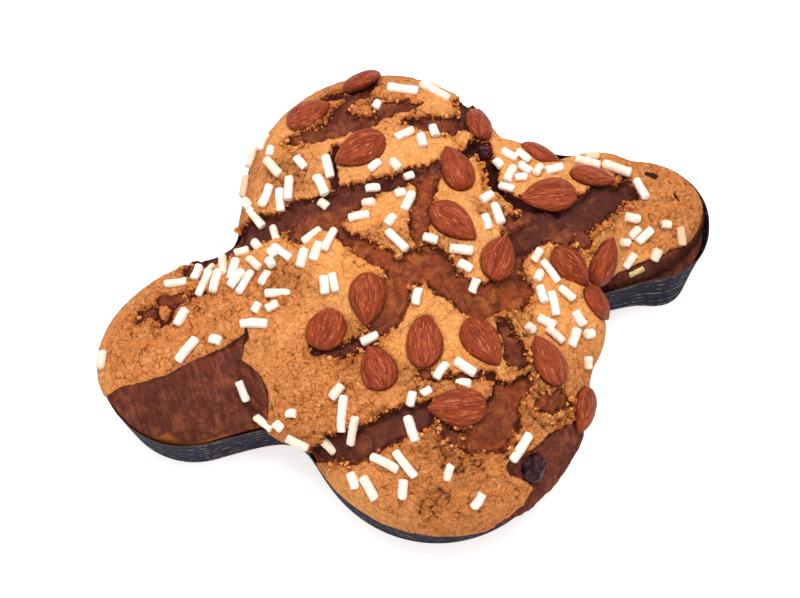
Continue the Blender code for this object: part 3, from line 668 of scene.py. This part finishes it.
def almond(number, row, material):
    """One almond with its tip at the end that its heading points to."""
    length, width = row[3:5]
    half = np.array((length / 2, width / 2, ALMOND_THICKNESS / 2))
    bpy.ops.mesh.primitive_uv_sphere_add(segments=44, ring_count=30, radius=1)
    piece = bpy.context.object
    piece.name = f"baked_almond_{number:02d}"
    mesh = piece.data
    ball = np.array([vertex.co for vertex in mesh.vertices])[:, (2, 0, 1)]
    x, across = ball[:, 0], ball[:, 1:]
    reach = np.linalg.norm(across, axis=1, keepdims=True)
    around = across / np.maximum(reach, 1e-4)
    grain = np.column_stack((x * 0.35 + number * 3.7, around))
    ridges = np.array([noise.noise(point * np.array((1.2, 5.5, 5.5))) for point in grain])
    pointed = np.clip(1 - x * x, 0, 1) ** (0.2 * np.clip(x, 0, 1))
    bow = 0.05 * math.sin(number * 2.3)
    dimples = np.array([noise.noise(point * 1.7 + number) for point in ball])
    swell = 1 + (0.022 * ridges + 0.035 * dimples)[:, None]
    local = np.column_stack((x * half[0],
                             (across[:, 0] * pointed * almond_width(x) + bow * (1 - x * x)) * half[1],
                             across[:, 1] * pointed * almond_depth(x) * half[2])) * swell
    move_points(mesh, placed(local, almond_place(row)))
    # How far down each point lies, for the painted shade on the almond's underside.
    keep_value(mesh, "sunk", -across[:, 1])
    skin = mesh.attributes.new("skin", "FLOAT_VECTOR", "POINT")
    skin.data.foreach_set("vector", grain.astype(np.float32).ravel())
    bpy.ops.object.mode_set(mode="EDIT")
    bpy.ops.mesh.normals_make_consistent(inside=False)
    bpy.ops.object.mode_set(mode="OBJECT")
    bpy.ops.object.shade_smooth()
    mesh.materials.append(material)
    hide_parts(f"almond_{number:02d}")
    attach(piece, "root")


almond_material = almond_skin()
for number, row in enumerate(ALMONDS, 1):
    almond(number, row, almond_material)
    room = (row[3] / 2 + GAP, row[4] / 2 + GAP, ALMOND_THICKNESS / 2 + GAP)
    points = pressed_hollow(points, almond_place(row), room, almond_width, almond_depth)
move_points(loaf.data, points)

# The raisins
# Dried grapes from the dough that came through the crust: one black and wrinkled at the near edge,
# and one dark red, deep in the crack at the far shoulder.

# Each raisin: x, y, heading, length, width and rise in mm, its colour between its folds and its painted
# highlight on them.
RAISINS = {
    "raisin_near": (25, -106, 60, 13, 11, 1, "#1C0C13", "#45202B"),
    "raisin_far": (55, 47.5, -20, 11, 8, 0, "#2A0D10", "#5E1B1F"),
}


def raisin_skin(name, deep, raised):
    """Dried grape skin, with a painted highlight on its folds."""
    made, tree, shader = blank_material(f"{name}_skin", roughness=0.4, specular=0.12)
    spot = node(tree, "ShaderNodeTexCoord", out="Object")
    folds = node(tree, "ShaderNodeTexNoise", {"Vector": spot, "Scale": 1 / (3.5 * MM), "Detail": 1.5})
    # A lighter colour on the raised folds paints their highlight.
    skin = coated(tree, colour(deep), ((folds, 0.35, 0.65, 1, raised),))
    dressed(tree, shader, skin, 0.6, ((folds, 1.0),), 0.5)
    return made


loaf_tree = surface_tree(loaf)
for name, (x, y, heading, length, width, rise, deep, raised) in RAISINS.items():
    place = resting_place(loaf_tree, x, y, heading) @ Matrix.Translation((0, 0, rise * MM))
    half = np.array((length / 2, width / 2, width * 0.4))
    bpy.ops.mesh.primitive_ico_sphere_add(subdivisions=5, radius=1)
    raisin = bpy.context.object
    raisin.name = f"baked_{name}"
    ball = np.array([vertex.co for vertex in raisin.data.vertices])
    folds = [0.88 + 0.3 * noise.noise(Vector(point) * 1.5) + 0.3 * abs(noise.noise(Vector(point) * 2.2))
             for point in ball]
    move_points(raisin.data, placed(ball * half * np.array(folds)[:, None], place))
    bpy.ops.object.shade_smooth()
    raisin.data.materials.append(raisin_skin(name, deep, raised))
    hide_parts(name)
    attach(raisin, "root")
    points = pressed_hollow(points, place, half + GAP)
move_points(loaf.data, points)

# The loaf's skin
# With the hollows pressed, the loaf keeps at each point what its baked skin needs to know: how far
# off a plate's edge it is, how deep it lies for painted shade, and where it is browner and paler.

# How often the shape is evened out to see what lies hollow, and at what depth in mm painted shade is
# darkest.
EVENING_ROUNDS = 8
DARKEST_HOLLOW = 1.2


def neighbours_mean(mesh, values, rounds):
    """The values evened out over the mesh's edges."""
    pairs = np.empty(len(mesh.edges) * 2, dtype=np.int64)
    mesh.edges.foreach_get("vertices", pairs)
    first, second = pairs.reshape(-1, 2).T
    count = np.bincount(pairs, minlength=len(values))
    for _ in range(rounds):
        total = np.bincount(first, values[second], len(values))
        values = (total + np.bincount(second, values[first], len(values))) / count
    return values


def glazed_crust(names):
    """Matt tan almond glaze, grainy or finely cracked, in plates over soft red-brown crust, with painted
    shade.
    """
    made, tree, shader = blank_material("glazed_crust", roughness=0.85, specular=0.06)
    spot = node(tree, "ShaderNodeTexCoord", out="Object")
    size = {}
    for grain_size, folding in ((30, 0.5), (10, 1.2), (4, 0.8), (1.7, 0.4), (0.75, 0.2)):
        inputs = {"Vector": spot, "Scale": 1 / (grain_size * MM), "Detail": 3.0, "Roughness": 0.6,
                  "Distortion": folding}
        size[grain_size] = node(tree, "ShaderNodeTexNoise", inputs)
    kept = {}
    for name in names:
        kept[name] = node(tree, "ShaderNodeAttribute", out="Fac", attribute_name=name)
    grain, ragged = kept["grain"], kept["ragged"]

    edge = kept["plate_edge"]
    for grain_size, reach in ((4, 4), (1.7, 4), (0.75, 1.5)):
        wander = node(tree, "ShaderNodeMath", {0: size[grain_size], 1: -0.5}, operation="ADD")
        wander = node(tree, "ShaderNodeMath", {0: wander, 1: reach}, operation="MULTIPLY")
        edge = node(tree, "ShaderNodeMath", {0: wander, 1: ragged, 2: edge}, operation="MULTIPLY_ADD")
    # A painted shadow line on the crust, just off the edge of each ragged plate.
    edge_shadow = node(tree, "ShaderNodeMath", {0: edge, 1: 0.55}, operation="ADD")
    edge_shadow = node(tree, "ShaderNodeMath", {0: edge_shadow}, operation="ABSOLUTE")
    warped = node(tree, "ShaderNodeTexNoise", {"Vector": spot, "Scale": 1 / (14 * MM), "Detail": 4.0,
                                               "Roughness": 0.55, "Distortion": 0.4})
    crack = node(tree, "ShaderNodeMath", {0: warped, 1: 0.5}, operation="SUBTRACT")
    crack = node(tree, "ShaderNodeMath", {0: crack}, operation="ABSOLUTE")
    stirred = node(tree, "ShaderNodeTexNoise", {"Vector": spot, "Scale": 1 / (2 * MM)}, "Color")
    stirred = node(tree, "ShaderNodeVectorMath", {0: stirred, 1: (2 * MM, 2 * MM, 2 * MM), 2: spot},
                   operation="MULTIPLY_ADD")
    cells = node(tree, "ShaderNodeTexVoronoi", {"Vector": stirred, "Scale": 1 / (3.4 * MM)},
                 feature="DISTANCE_TO_EDGE")
    masks = []
    for value, low, high in ((crack, 0.002, 0.014), (size[10], 0.54, 0.62), (cells, 0.02, 0.07),
                             (size[4], 0.55, 0.6)):
        masks.append(node(tree, "ShaderNodeMapRange", {0: value, 1: low, 2: high},
                          interpolation_type="SMOOTHSTEP"))
    groove, cracked, pit, pitted = masks
    darkness = {0: size[4], 1: 0.7, 2: kept["crust_dark"]}
    shade = node(tree, "ShaderNodeMath", darkness, operation="MULTIPLY_ADD")
    drawn = node(tree, "ShaderNodeMapping", {"Vector": spot, "Scale": (1, 0.15, 0.12)})
    streaks = node(tree, "ShaderNodeTexNoise", {"Vector": drawn, "Scale": 1 / (1.7 * MM), "Detail": 4.0})
    calm = node(tree, "ShaderNodeMath", {0: 1.0, 1: ragged}, operation="SUBTRACT")
    soft = node(tree, "ShaderNodeMapRange", {0: edge, 1: -0.6, 2: 0.4, 3: 0.6, 4: 1.0})

    glaze = coated(tree, colour("#F2A55F"), (
        (size[10], 0.35, 0.65, 0.7, "#D58743"),
        (size[30], 0.4, 0.6, 0.5, "#EDA666"),
        (grain, 0.2, 1.0, 0.8, "#D27C40"),
        (size[1.7], 0.54, 0.66, 0.5, "#A05327", grain),
        (size[1.7], 0.46, 0.36, 0.4, "#F0AC74", grain),
        (size[0.75], 0.6, 0.66, 0.8, "#6E3014", grain),
        (size[4], 0.57, 0.66, 0.6, "#8E4C24", grain),
        (size[4], 0.43, 0.35, 0.5, "#F0B078", grain),
        (pit, 0.9, 0.1, 0.8, "#5E2A10", grain, pitted),
        (groove, 0.9, 0.1, 0.7, "#7A3B1B", cracked),
        (size[1.7], 0.42, 0.6, 0.8, "#D07A3C", kept["crumble"]),
        (size[0.75], 0.56, 0.62, 0.45, "#7A3415", kept["crumble"]),
        (edge, 1.4, 0.2, 0.8, "#C46A31", ragged),
        # dark specks on ragged glaze turned towards -Y: holes of torn crumb, deepened by painted shade
        (size[0.75], 0.52, 0.58, 0.85, "#5A2411", ragged, kept["torn"]),
        # browner on steep slopes, most on the far side, and towards the head's tip
        (kept["baked"], 0, 1, 0.6, "#A86238"),
    ))
    crust = coated(tree, colour("#934526"), (
        (size[10], 0.46, 0.62, 0.8, "#AF642F"),
        (shade, 0.4, 1.2, 1, "#6A362C"),
        (shade, 0.85, 1.2, 0.8, "#472723"),
        (size[10], 0.5, 0.64, 0.45, "#94502C"),
        (size[30], 0.46, 0.6, 0.4, "#5A2C22"),
        (size[4], 0.46, 0.62, 0.6, "#5E2C1D"),
        (size[1.7], 0.5, 0.7, 0.2, "#48221A"),
        (streaks, 0.48, 0.66, 0.6, "#4A231F", calm),
        (streaks, 0.46, 0.32, 0.3, "#96584A", calm),
        (size[10], 0.46, 0.36, 0.4, "#7E3E2C", calm),
        # painted shade: near black deep in the cracks and pits, where the crust is darkest
        (kept["crust_dark"], 0.85, 0.97, 0.85, "#2C1210"),
        (kept["pale"], 0, 1, 1, "#9A5628"),
        # painted shade on the crust beside a ragged plate's edge
        (edge, -1.6, -0.3, 0.6, "#5C2411", ragged),
    ))
    skin = coated(tree, crust, (
        (edge, -0.15, 0.15, 1, glaze),
        # painted shadow along the foot of ragged plates
        (edge_shadow, 0.6, 0.1, 0.8, "#34120A", ragged),
        # painted shade in hollows, creases and between crumbled grains
        (kept["hollow"], 0.15, 0.9, 0.8, "#34160D"),
    ))
    heights = ((size[1.7], 0.8), (size[0.75], 0.5), (size[4], 0.6), (groove, 0.25), (size[1.7], grain),
               (pit, 0.3), (size[0.75], kept["crumble"]))
    dressed(tree, shader, skin, 1.1, heights, soft)
    return made


x, y, z = points.T
edge = np.minimum(edge, z - CASE_HEIGHT + 0.5 - 1.2 * unevenness(points, 8, 131))
mean = [neighbours_mean(loaf.data, points[:, axis], EVENING_ROUNDS) for axis in range(3)]
depth = ((np.column_stack(mean) - points) * normals).sum(axis=1)
# How far the relief turns the skin towards -Y, where ragged glaze gets torn crumb's dark specks and painted
# shade.
lean = normals[:, 1] - mesh_points(loaf.data)[1][:, 1]
at_tail_side = eased((-95 - x) / 10) * eased((-20 - y) / 8)
# Painted shade in the hollows and creases, darkest where they lie deepest.
shade_in_creases = 0.55 * eased(1 - creases / 0.1) * ragged * eased(-edge / 1.5)
shade_in_hollows = np.maximum((depth / DARKEST_HOLLOW).clip(0, 1), shade_in_creases)
# The glaze is browner on steep slopes, most on the far side, and towards the head's tip.
steep = eased((0.78 - normals[:, 2]) / 0.5) * (0.4 + 0.6 * eased((y + 20) / 80))
paper_line = CASE_HEIGHT + 1.5 + 3 * unevenness(points, 9, 139)
skin_values = {
    "plate_edge": edge.clip(-8, 8),
    "ragged": ragged,
    "crust_dark": dark,
    "grain": grain,
    "crumble": crumble,
    "torn": eased(lean / 0.4),
    "hollow": np.maximum(shade_in_hollows, 0.6 * between_grains) * above,
    "baked": steep + 0.35 * eased((x - 98) / 25),
    "pale": at_tail_side * eased((paper_line - z) / 2),
}
for name, values in skin_values.items():
    keep_value(loaf.data, name, values)
bpy.ops.object.select_all(action="DESELECT")
loaf.select_set(True)
bpy.context.view_layer.objects.active = loaf
bpy.ops.object.shade_smooth()
loaf.data.materials.append(glazed_crust(skin_values))
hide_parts("bread")
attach(loaf, "root")

# The crumbs
# Grains of glaze that came loose where the rising dough tore its plates, and baked on along the torn
# edges. They are the colour of toasted almond paste, and as hard and rough.

# How many there are, and the sizes in mm that they lie between.
CRUMB_COUNT = 1100
CRUMB_SIZES = (0.5, 2.1)
CRUMB_SEED = 11


def copied(piece):
    """A copy of a piece with its own mesh."""
    copy = piece.copy()
    copy.data = piece.data.copy()
    bpy.context.scene.collection.objects.link(copy)
    return copy


def toasted_paste():
    """Baked almond paste, rough, from pale tan to dark where it has caught."""
    made, tree, shader = blank_material("toasted_paste", roughness=0.85, specular=0.06)
    spot = node(tree, "ShaderNodeTexCoord", out="Object")
    grains = node(tree, "ShaderNodeTexNoise", {"Vector": spot, "Scale": 1 / (0.8 * MM), "Detail": 3.0})
    tone = node(tree, "ShaderNodeAttribute", out="Fac", attribute_name="tone")
    paste = coated(tree, colour("#C87238"), (
        (tone, 0.3, 0.9, 1, "#DF9A5A"),
        (tone, 0.3, 0, 0.8, "#7C3819"),
        (grains, 0.5, 0.66, 0.6, "#7C3819"),
    ))
    dressed(tree, shader, paste, 0.5, ((grains, 1.0),), 0.7)
    return made


bpy.ops.mesh.primitive_cube_add(size=1)
crumb = bpy.context.object
bpy.ops.object.mode_set(mode="EDIT")
bpy.ops.mesh.subdivide(number_cuts=1, smoothness=1)
bpy.ops.object.mode_set(mode="OBJECT")
numbers = np.random.default_rng(CRUMB_SEED)
by_edge = ragged * crumble**2 * np.exp(-(((edge - 0.6) / 1.6) ** 2)) * above
centres = numbers.choice(len(points), CRUMB_COUNT, replace=False, p=by_edge / by_edge.sum())
lump_shape = mesh_points(crumb.data)[0] * MM
crumbs = []
for centre in centres:
    piece = copied(crumb)
    turn = np.linalg.qr(numbers.normal(size=(3, 3)))[0]
    uneven = 1 + 0.5 * unevenness(lump_shape * 3, 1, centre % 97)
    size = np.interp(numbers.random() ** 2, (0, 1), CRUMB_SIZES) * numbers.uniform(0.35, 1, 3)
    local = (lump_shape * uneven[:, None] * size) @ (turn * np.sign(np.linalg.det(turn)))
    move_points(piece.data, local + points[centre])
    keep_value(piece.data, "tone", np.full(len(local), numbers.random()))
    crumbs.append(piece)
bpy.data.objects.remove(crumb)
crumbs = gathered("glaze_crumbs", crumbs)
bpy.ops.object.shade_flat()
crumbs.data.materials.append(toasted_paste())
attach(crumbs, "root")

# The pearl sugar
# Short rods of pressed white sugar, strewn by hand on the wet glaze: rough, with chipped and worn
# ends. They don't melt in the oven, but the glaze tints those that lie low on the loaf.

# Where it lies by itself: x, y, heading and length, and how far it strays in mm and degrees.
LONE_SUGAR = (
    (-103, 32, -30, 11), (-105, 13, 40, 9), (-107, -3, 34, 14), (-93, -2, -40, 6), (-146, 10, 65, 9),
    (-89, -28, 82, 10), (-84.5, -43.5, -54, 10), (-78.5, -49.5, -79, 5), (-71, -47, -19, 5),
    (-73, -57, -54, 11), (-60, -64, -64, 10), (-50, -46, 33, 8), (-50, -56, 60, 17), (-47, -66, 57, 14),
    (-27, -28, 11, 9), (-2, -56, 34, 9), (9, -57, -48, 11), (5, -63, -27, 9), (-18, -62, 62, 7),
    (-12, -63, 12, 5), (-22, -75, 89, 13), (-38, -85, -47, 14), (-30, -88, -71, 15), (-35, -97, 55, 9),
    (-13, -98, 59, 8), (-4, -112, 53, 8), (22, -98, 43, 15), (-53, -85, 77, 8), (-49, -90, 81, 12),
    (61, -12.5, 42, 7), (66, -8, 40, 7), (63.5, -21, -74, 13), (57.5, -23.5, 42, 6), (55.5, -33, 82, 9),
    (60, -37, 84, 12), (66, -33.5, -56, 9), (52, -44, -45, 9), (43, -46, -19, 5), (54, -51.5, -59, 10),
    (68.5, -47, -63, 8), (62.5, -54, 53, 9), (71, -54, -19, 5), (67, -66, -81, 6), (122, 8, -87, 12),
    (111, -4, -10, 8), (110.5, -10.5, 22, 7), (114.5, -13.5, 27, 10), (103, -13.5, -19, 5),
    (104.6, -21.5, 43, 8.5), (127, -11, -19, 5), (131.5, -17, 90, 9), (118, -22.5, 55, 6),
    (114, 21, -51, 15), (25.5, -4.5, -19, 11), (25, -11, -45, 7), (26, -19.8, 52, 7), (14, 5, -35, 7),
    (-1.5, -20, 62, 8), (9, 27, 45, 11), (-14, 27, -13, 10), (0, 20, 28, 6), (-1.5, 9, -70, 14),
    (-7, 32, -40, 6), (7, 33, 0, 5), (47, 21, 28, 8), (41, 8, 80, 8), (49, 11, -89, 12), (1, 49, 24, 7),
    (11, 47, -71, 6), (20, 60, 13, 10), (27, 55, 85, 7), (33, 59, 85, 6), (-2, 40, -19, 7), (15, 40, 0, 5),
    (12, 82, 50, 5), (27, 88, -27, 15), (43, 84, -39, 16), (64.5, 54, -19, 9), (59.5, 38.5, -66, 5),
    (64.8, 41.6, -47, 8.5), (71, 39.3, -59, 8), (63, 31.6, 46, 10), (69.8, 31.6, -75, 8),
    (74.8, 28.8, 58, 7), (84, 25.5, 12, 9), (67.5, 25.5, -19, 6), (59.5, 23.5, -43, 7.5),
    (103.4, 29.6, -25, 12.5), (105.6, 33.6, -8, 7),
)
LONE_SPREAD = 1
LONE_TURN = 5

# Where it lies close: x, y, spread in x and in y, how many, main heading and its spread.
SUGAR_CLUSTERS = (
    (-84, 30, 8, 7, 6, 60, 35),
    (-61, 29, 10, 8, 7, -45, 40),
    (-70, 17, 12, 3, 3, 45, 40),
    (-70, 2, 12, 5, 4, 25, 45),
    (-38, 23, 8, 8, 4, 30, 35),
    (-38, 0, 4, 1, 2, 77, 5),
    (-32, -6, 2, 4, 1, 75, 15),
    (-48, 80, 10, 9, 5, 65, 15),
    (-37, 68, 8, 3, 2, -62, 8),
    (-61, 57, 5, 5, 3, -55, 15),
    (-43, 53, 7, 4, 3, 60, 25),
    (-26, 48, 3, 6, 2, -70, 30),
    (-18, 53, 1, 3, 1, 80, 10),
    (50, 86, 6, 5, 2, -35, 20),
)

# How thick and how long it is in mm, how short a nub is and what share of it are nubs, and what
# share of its thickness is sunk. Each place is tried so often, wider after each try.
SUGAR_THICKNESS = 4.6
SUGAR_LENGTHS = (6, 14)
SUGAR_NUB = 5
SUGAR_NUB_SHARE = 0.15
SUGAR_SINK = 0.3
SUGAR_SEED = 25
SUGAR_TRIES = 60
SUGAR_SPREADING = 60

# How near one piece may come to another, as a share of its thickness, and how much of what is then
# missing between them it rises, so that it leans on the other.
SUGAR_CLOSEST = 0.6
SUGAR_LEAN = 0.6

# Sugar whose place is lower than this, in mm, is tinted, and the more so the lower it lies.
TINTED_BELOW = 60

# The rod that they are all copied from, with its worn ends, in mm.
ROD_LENGTH = 10
ROD_CORNERS = 10
ROD_END = 1.2
ROD_BEVEL = 0.8


def covers(row, x, y, margin):
    """Whether an almond or raisin lies under a point of the plan, with a margin in mm."""
    centre_x, centre_y, heading, length, width = row[:5]
    turn = math.radians(heading)
    along = (x - centre_x) * math.cos(turn) + (y - centre_y) * math.sin(turn)
    across = (y - centre_y) * math.cos(turn) - (x - centre_x) * math.sin(turn)
    return (along / (length / 2 + margin)) ** 2 + (across / (width / 2 + margin)) ** 2 < 1


def sugar_wishes(draw):
    """Each piece of sugar as it is wished for: x, y, spread in x and in y, heading, turn and length."""
    for x, y, heading, length in LONE_SUGAR:
        yield x, y, LONE_SPREAD, LONE_SPREAD, heading, LONE_TURN, length
    for x, y, spread_x, spread_y, count, heading, turn in SUGAR_CLUSTERS:
        for _ in range(count):
            is_nub = draw.random() < SUGAR_NUB_SHARE
            length = SUGAR_NUB if is_nub else draw.uniform(*SUGAR_LENGTHS)
            yield x, y, spread_x, spread_y, heading, turn, length


def sugar_pieces():
    """Pearl sugar where it finds room near its wished place: x, y, heading, length and rise, in mm."""
    draw = random.Random(SUGAR_SEED)
    margin = SUGAR_THICKNESS / 2 + 2 * GAP
    fruit = ALMONDS + tuple(RAISINS.values())
    laid = []
    for x, y, spread_x, spread_y, heading, turn, length in sugar_wishes(draw):
        for attempt in range(SUGAR_TRIES):
            wider = 1 + attempt / SUGAR_SPREADING
            across, up = draw.uniform(-1, 1), draw.uniform(-1, 1)
            at = Vector((x + spread_x * wider * across, y + spread_y * wider * up))
            angle = heading + turn * draw.uniform(-1, 1)
            ahead = Vector((math.cos(math.radians(angle)), math.sin(math.radians(angle))))
            spots = [at + ahead * length * share for share in (-0.5, -0.25, 0, 0.25, 0.5)]
            on_fruit = any(covers(row, *spot, margin) for row in fruit for spot in spots)
            away = min(((spot - other).length for piece in laid for other in piece[5] for spot in spots),
                       default=SUGAR_THICKNESS)
            if not on_fruit and away > SUGAR_CLOSEST * SUGAR_THICKNESS:
                raised = SUGAR_LEAN * max(SUGAR_THICKNESS - away, 0)
                laid.append((at.x, at.y, angle, length, raised, spots))
                break
    return [piece[:5] for piece in laid]


def above_paper(place, length):
    """Whether a piece of sugar lies wholly above the rim of the case."""
    lowest = place.translation.z / MM - abs(place.col[0].z) * length / 2 - SUGAR_THICKNESS / 2
    return lowest > CASE_HEIGHT + 2 * GAP


def lying_rod(corners, thickness, length):
    """A plain rod along X, with its sizes in mm."""
    bpy.ops.mesh.primitive_cylinder_add(vertices=corners, radius=thickness / 2 * MM, depth=length * MM,
                                        rotation=(0, math.pi / 2, 0))
    bpy.ops.object.transform_apply(location=True, rotation=True, scale=True)
    return bpy.context.object


def sugar_rod():
    """The rod that the others are copied from, with worn ends."""
    rod = lying_rod(ROD_CORNERS, SUGAR_THICKNESS, ROD_LENGTH)
    bpy.ops.object.mode_set(mode="EDIT")
    bpy.ops.mesh.select_mode(type="EDGE")
    bpy.ops.mesh.select_all(action="DESELECT")
    edit = bmesh.from_edit_mesh(rod.data)
    for side in edit.edges:
        side.select_set(abs(side.verts[0].co.x - side.verts[1].co.x) > ROD_LENGTH / 2 * MM)
    bmesh.update_edit_mesh(rod.data)
    bpy.ops.mesh.subdivide(number_cuts=4)
    bpy.ops.mesh.select_all(action="DESELECT")
    edit = bmesh.from_edit_mesh(rod.data)
    edit.select_mode = {"FACE"}
    for face in edit.faces:
        face.select_set(abs(face.normal.x) > 0.9)
    edit.select_flush_mode()
    bmesh.update_edit_mesh(rod.data)
    bpy.ops.mesh.bevel(offset=ROD_BEVEL * MM, segments=2, affect="EDGES")
    bpy.ops.object.mode_set(mode="OBJECT")
    return rod


def pressed_sugar():
    """Opaque white sugar grains pressed together, creamy where they have taken up glaze."""
    made, tree, shader = blank_material("pearl_sugar", roughness=0.75, specular=0.2)
    spot = node(tree, "ShaderNodeTexCoord", out="Object")
    grains = node(tree, "ShaderNodeTexNoise", {"Vector": spot, "Scale": 1 / (0.9 * MM), "Detail": 3.0})
    broad = node(tree, "ShaderNodeTexNoise", {"Vector": spot, "Scale": 1 / (3.5 * MM), "Detail": 2.0})
    tint = node(tree, "ShaderNodeAttribute", out="Fac", attribute_name="tint")
    sugar = coated(tree, colour("#F4E8DC"), (
        (broad, 0.4, 0.75, 1, "#E9D6C0"),
        (grains, 0.62, 0.75, 0.5, "#D2B596"),
        (tint, 0, 1, 1, "#D9A878"),
    ))
    dressed(tree, shader, sugar, 0.5, ((grains, 1.0),), 0.7)
    return made


loaf_tree = surface_tree(loaf)
draw = random.Random(SUGAR_SEED + 1)
rod = sugar_rod()
rods = []
for x, y, heading, length, raised in sugar_pieces():
    place = resting_place(loaf_tree, x, y, heading)
    rise = SUGAR_THICKNESS * (0.5 - SUGAR_SINK) + raised
    lift = Matrix.Translation((0, 0, rise * MM))
    if not place or not above_paper(place @ lift, length):
        continue
    piece = copied(rod)
    local, _ = mesh_points(piece.data)
    stretch = (length / 2 - ROD_END) / (ROD_LENGTH / 2 - ROD_END)
    middle = np.clip(local[:, 0], ROD_END - ROD_LENGTH / 2, ROD_LENGTH / 2 - ROD_END)
    local[:, 0] += middle * (stretch - 1)
    shift = draw.uniform(0, 100)
    worn = 1 + 0.13 * unevenness(local, 3.2, shift) + 0.07 * unevenness(local, 1.5, shift + 9)
    local[:, 1:] *= (worn * draw.uniform(0.86, 1.04))[:, None]
    local[:, 0] += 0.5 * unevenness(local, 1.7, shift + 20) * (np.abs(local[:, 0]) > length / 2 - ROD_END)
    local[:, 1] += draw.uniform(-0.5, 0.5) * (2 * local[:, 0] / length) ** 2
    turn = Matrix.Rotation(draw.uniform(0, math.tau), 4, "X")
    move_points(piece.data, placed(local, place @ lift @ turn))
    low = max(0, TINTED_BELOW - place.translation.z / MM) / (TINTED_BELOW - CASE_HEIGHT)
    keep_value(piece.data, "tint", np.full(len(local), min(1, 0.35 * draw.random() ** 3 + 0.5 * low)))
    rods.append(piece)
bpy.data.objects.remove(rod)
sugar = gathered("pearl_sugar", rods)
sugar.data.materials.append(pressed_sugar())
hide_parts("bread")
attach(sugar, "root")

# The candied peel
# A sliver of candied lemon peel that the dough has pushed out between the head and the case.
PEEL_PLACE = (107, -27.5, 8)
PEEL_LENGTH = 8
PEEL_THICKNESS = 3
PEEL_CORNERS = 16
place = resting_place(loaf_tree, *PEEL_PLACE)
peel = lying_rod(PEEL_CORNERS, PEEL_THICKNESS, PEEL_LENGTH)
peel.name = "candied_peel"
finished(peel, "BEVEL", width=0.6 * MM, segments=3)
local, _ = mesh_points(peel.data)
local[:, 2] *= 0.7
local[:, 2] += 0.03 * local[:, 0] ** 2
move_points(peel.data, placed(local, place))
bpy.ops.object.shade_smooth()
peel_material, peel_tree, peel_shader = blank_material("candied_peel", roughness=0.35, specular=0.5)
peel_spot = node(peel_tree, "ShaderNodeTexCoord", out="Object")
peel_noise = node(peel_tree, "ShaderNodeTexNoise", {"Vector": peel_spot, "Scale": 1 / (2 * MM)})
peel_colour = coated(peel_tree, colour("#A8924E"), ((peel_noise, 0.35, 0.65, 1, "#C9B878"),))
peel_tree.links.new(peel_colour, peel_shader.inputs["Base Color"])
peel.data.materials.append(peel_material)
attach(peel, "root")

# The floor, the lamps and the camera
# A white table under soft light from above, and the camera well over the loaf, looking down.
TABLE_SIZE = 6
TABLE_TOP = -0.0002
bpy.ops.mesh.primitive_plane_add(size=TABLE_SIZE, location=(0, 0, TABLE_TOP))
floor = bpy.context.object
floor.name = "white_table"
floor_material, _, floor_shader = blank_material("white_table", roughness=0.9, specular=0.1)
floor_shader.inputs["Base Color"].default_value = colour("#FAFAFA")
floor_shader.inputs["Emission Color"].default_value = colour("#FFFAF8")
floor_shader.inputs["Emission Strength"].default_value = 0.6
floor.data.materials.append(floor_material)

world = bpy.data.worlds.new("studio")
bpy.context.scene.world = world
world.use_nodes = True
sky = world.node_tree.nodes["Background"].inputs
sky["Color"].default_value = (1, 1, 1, 1)
sky["Strength"].default_value = 0.45

# Each lamp's place, size and power.
LAMPS = {"overhead": ((0.1, 0.2, 1.35), 0.8, 19.5), "side": ((-0.9, -0.5, 0.9), 0.8, 2.5)}
for name, (place, size, power) in LAMPS.items():
    lamp = bpy.data.lights.new(name, "AREA")
    lamp.size = size
    lamp.energy = power
    lit = bpy.data.objects.new(name, lamp)
    lit.location = place
    lit.rotation_euler = (-Vector(place)).to_track_quat("-Z", "Y").to_euler()
    bpy.context.scene.collection.objects.link(lit)

# The camera's turn and height in degrees, its distance and aim in metres, and its lens in mm.
CAMERA_TURN = -18.67
CAMERA_HEIGHT = 71.41
CAMERA_DISTANCE = 1.0
CAMERA_LENS = 92.84
CAMERA_SENSOR = 36
CAMERA_AIM = (0, 0, 0.03)
CAMERA_ASIDE = -0.00285
turn, high = math.radians(CAMERA_TURN), math.radians(CAMERA_HEIGHT)
back = Vector((math.sin(turn) * math.cos(high), -math.cos(turn) * math.cos(high), math.sin(high)))
right = Vector((math.cos(turn), math.sin(turn), 0))
camera_data = bpy.data.cameras.new("camera")
camera_data.lens = CAMERA_LENS
camera_data.sensor_width = CAMERA_SENSOR
camera = bpy.data.objects.new("camera", camera_data)
camera.matrix_world = Matrix((right, back.cross(right), back)).transposed().to_4x4()
camera.location = Vector(CAMERA_AIM) + back * CAMERA_DISTANCE + right * CAMERA_ASIDE
bpy.context.scene.collection.objects.link(camera)
bpy.context.scene.camera = camera
bpy.context.scene.view_settings.view_transform = "Standard"
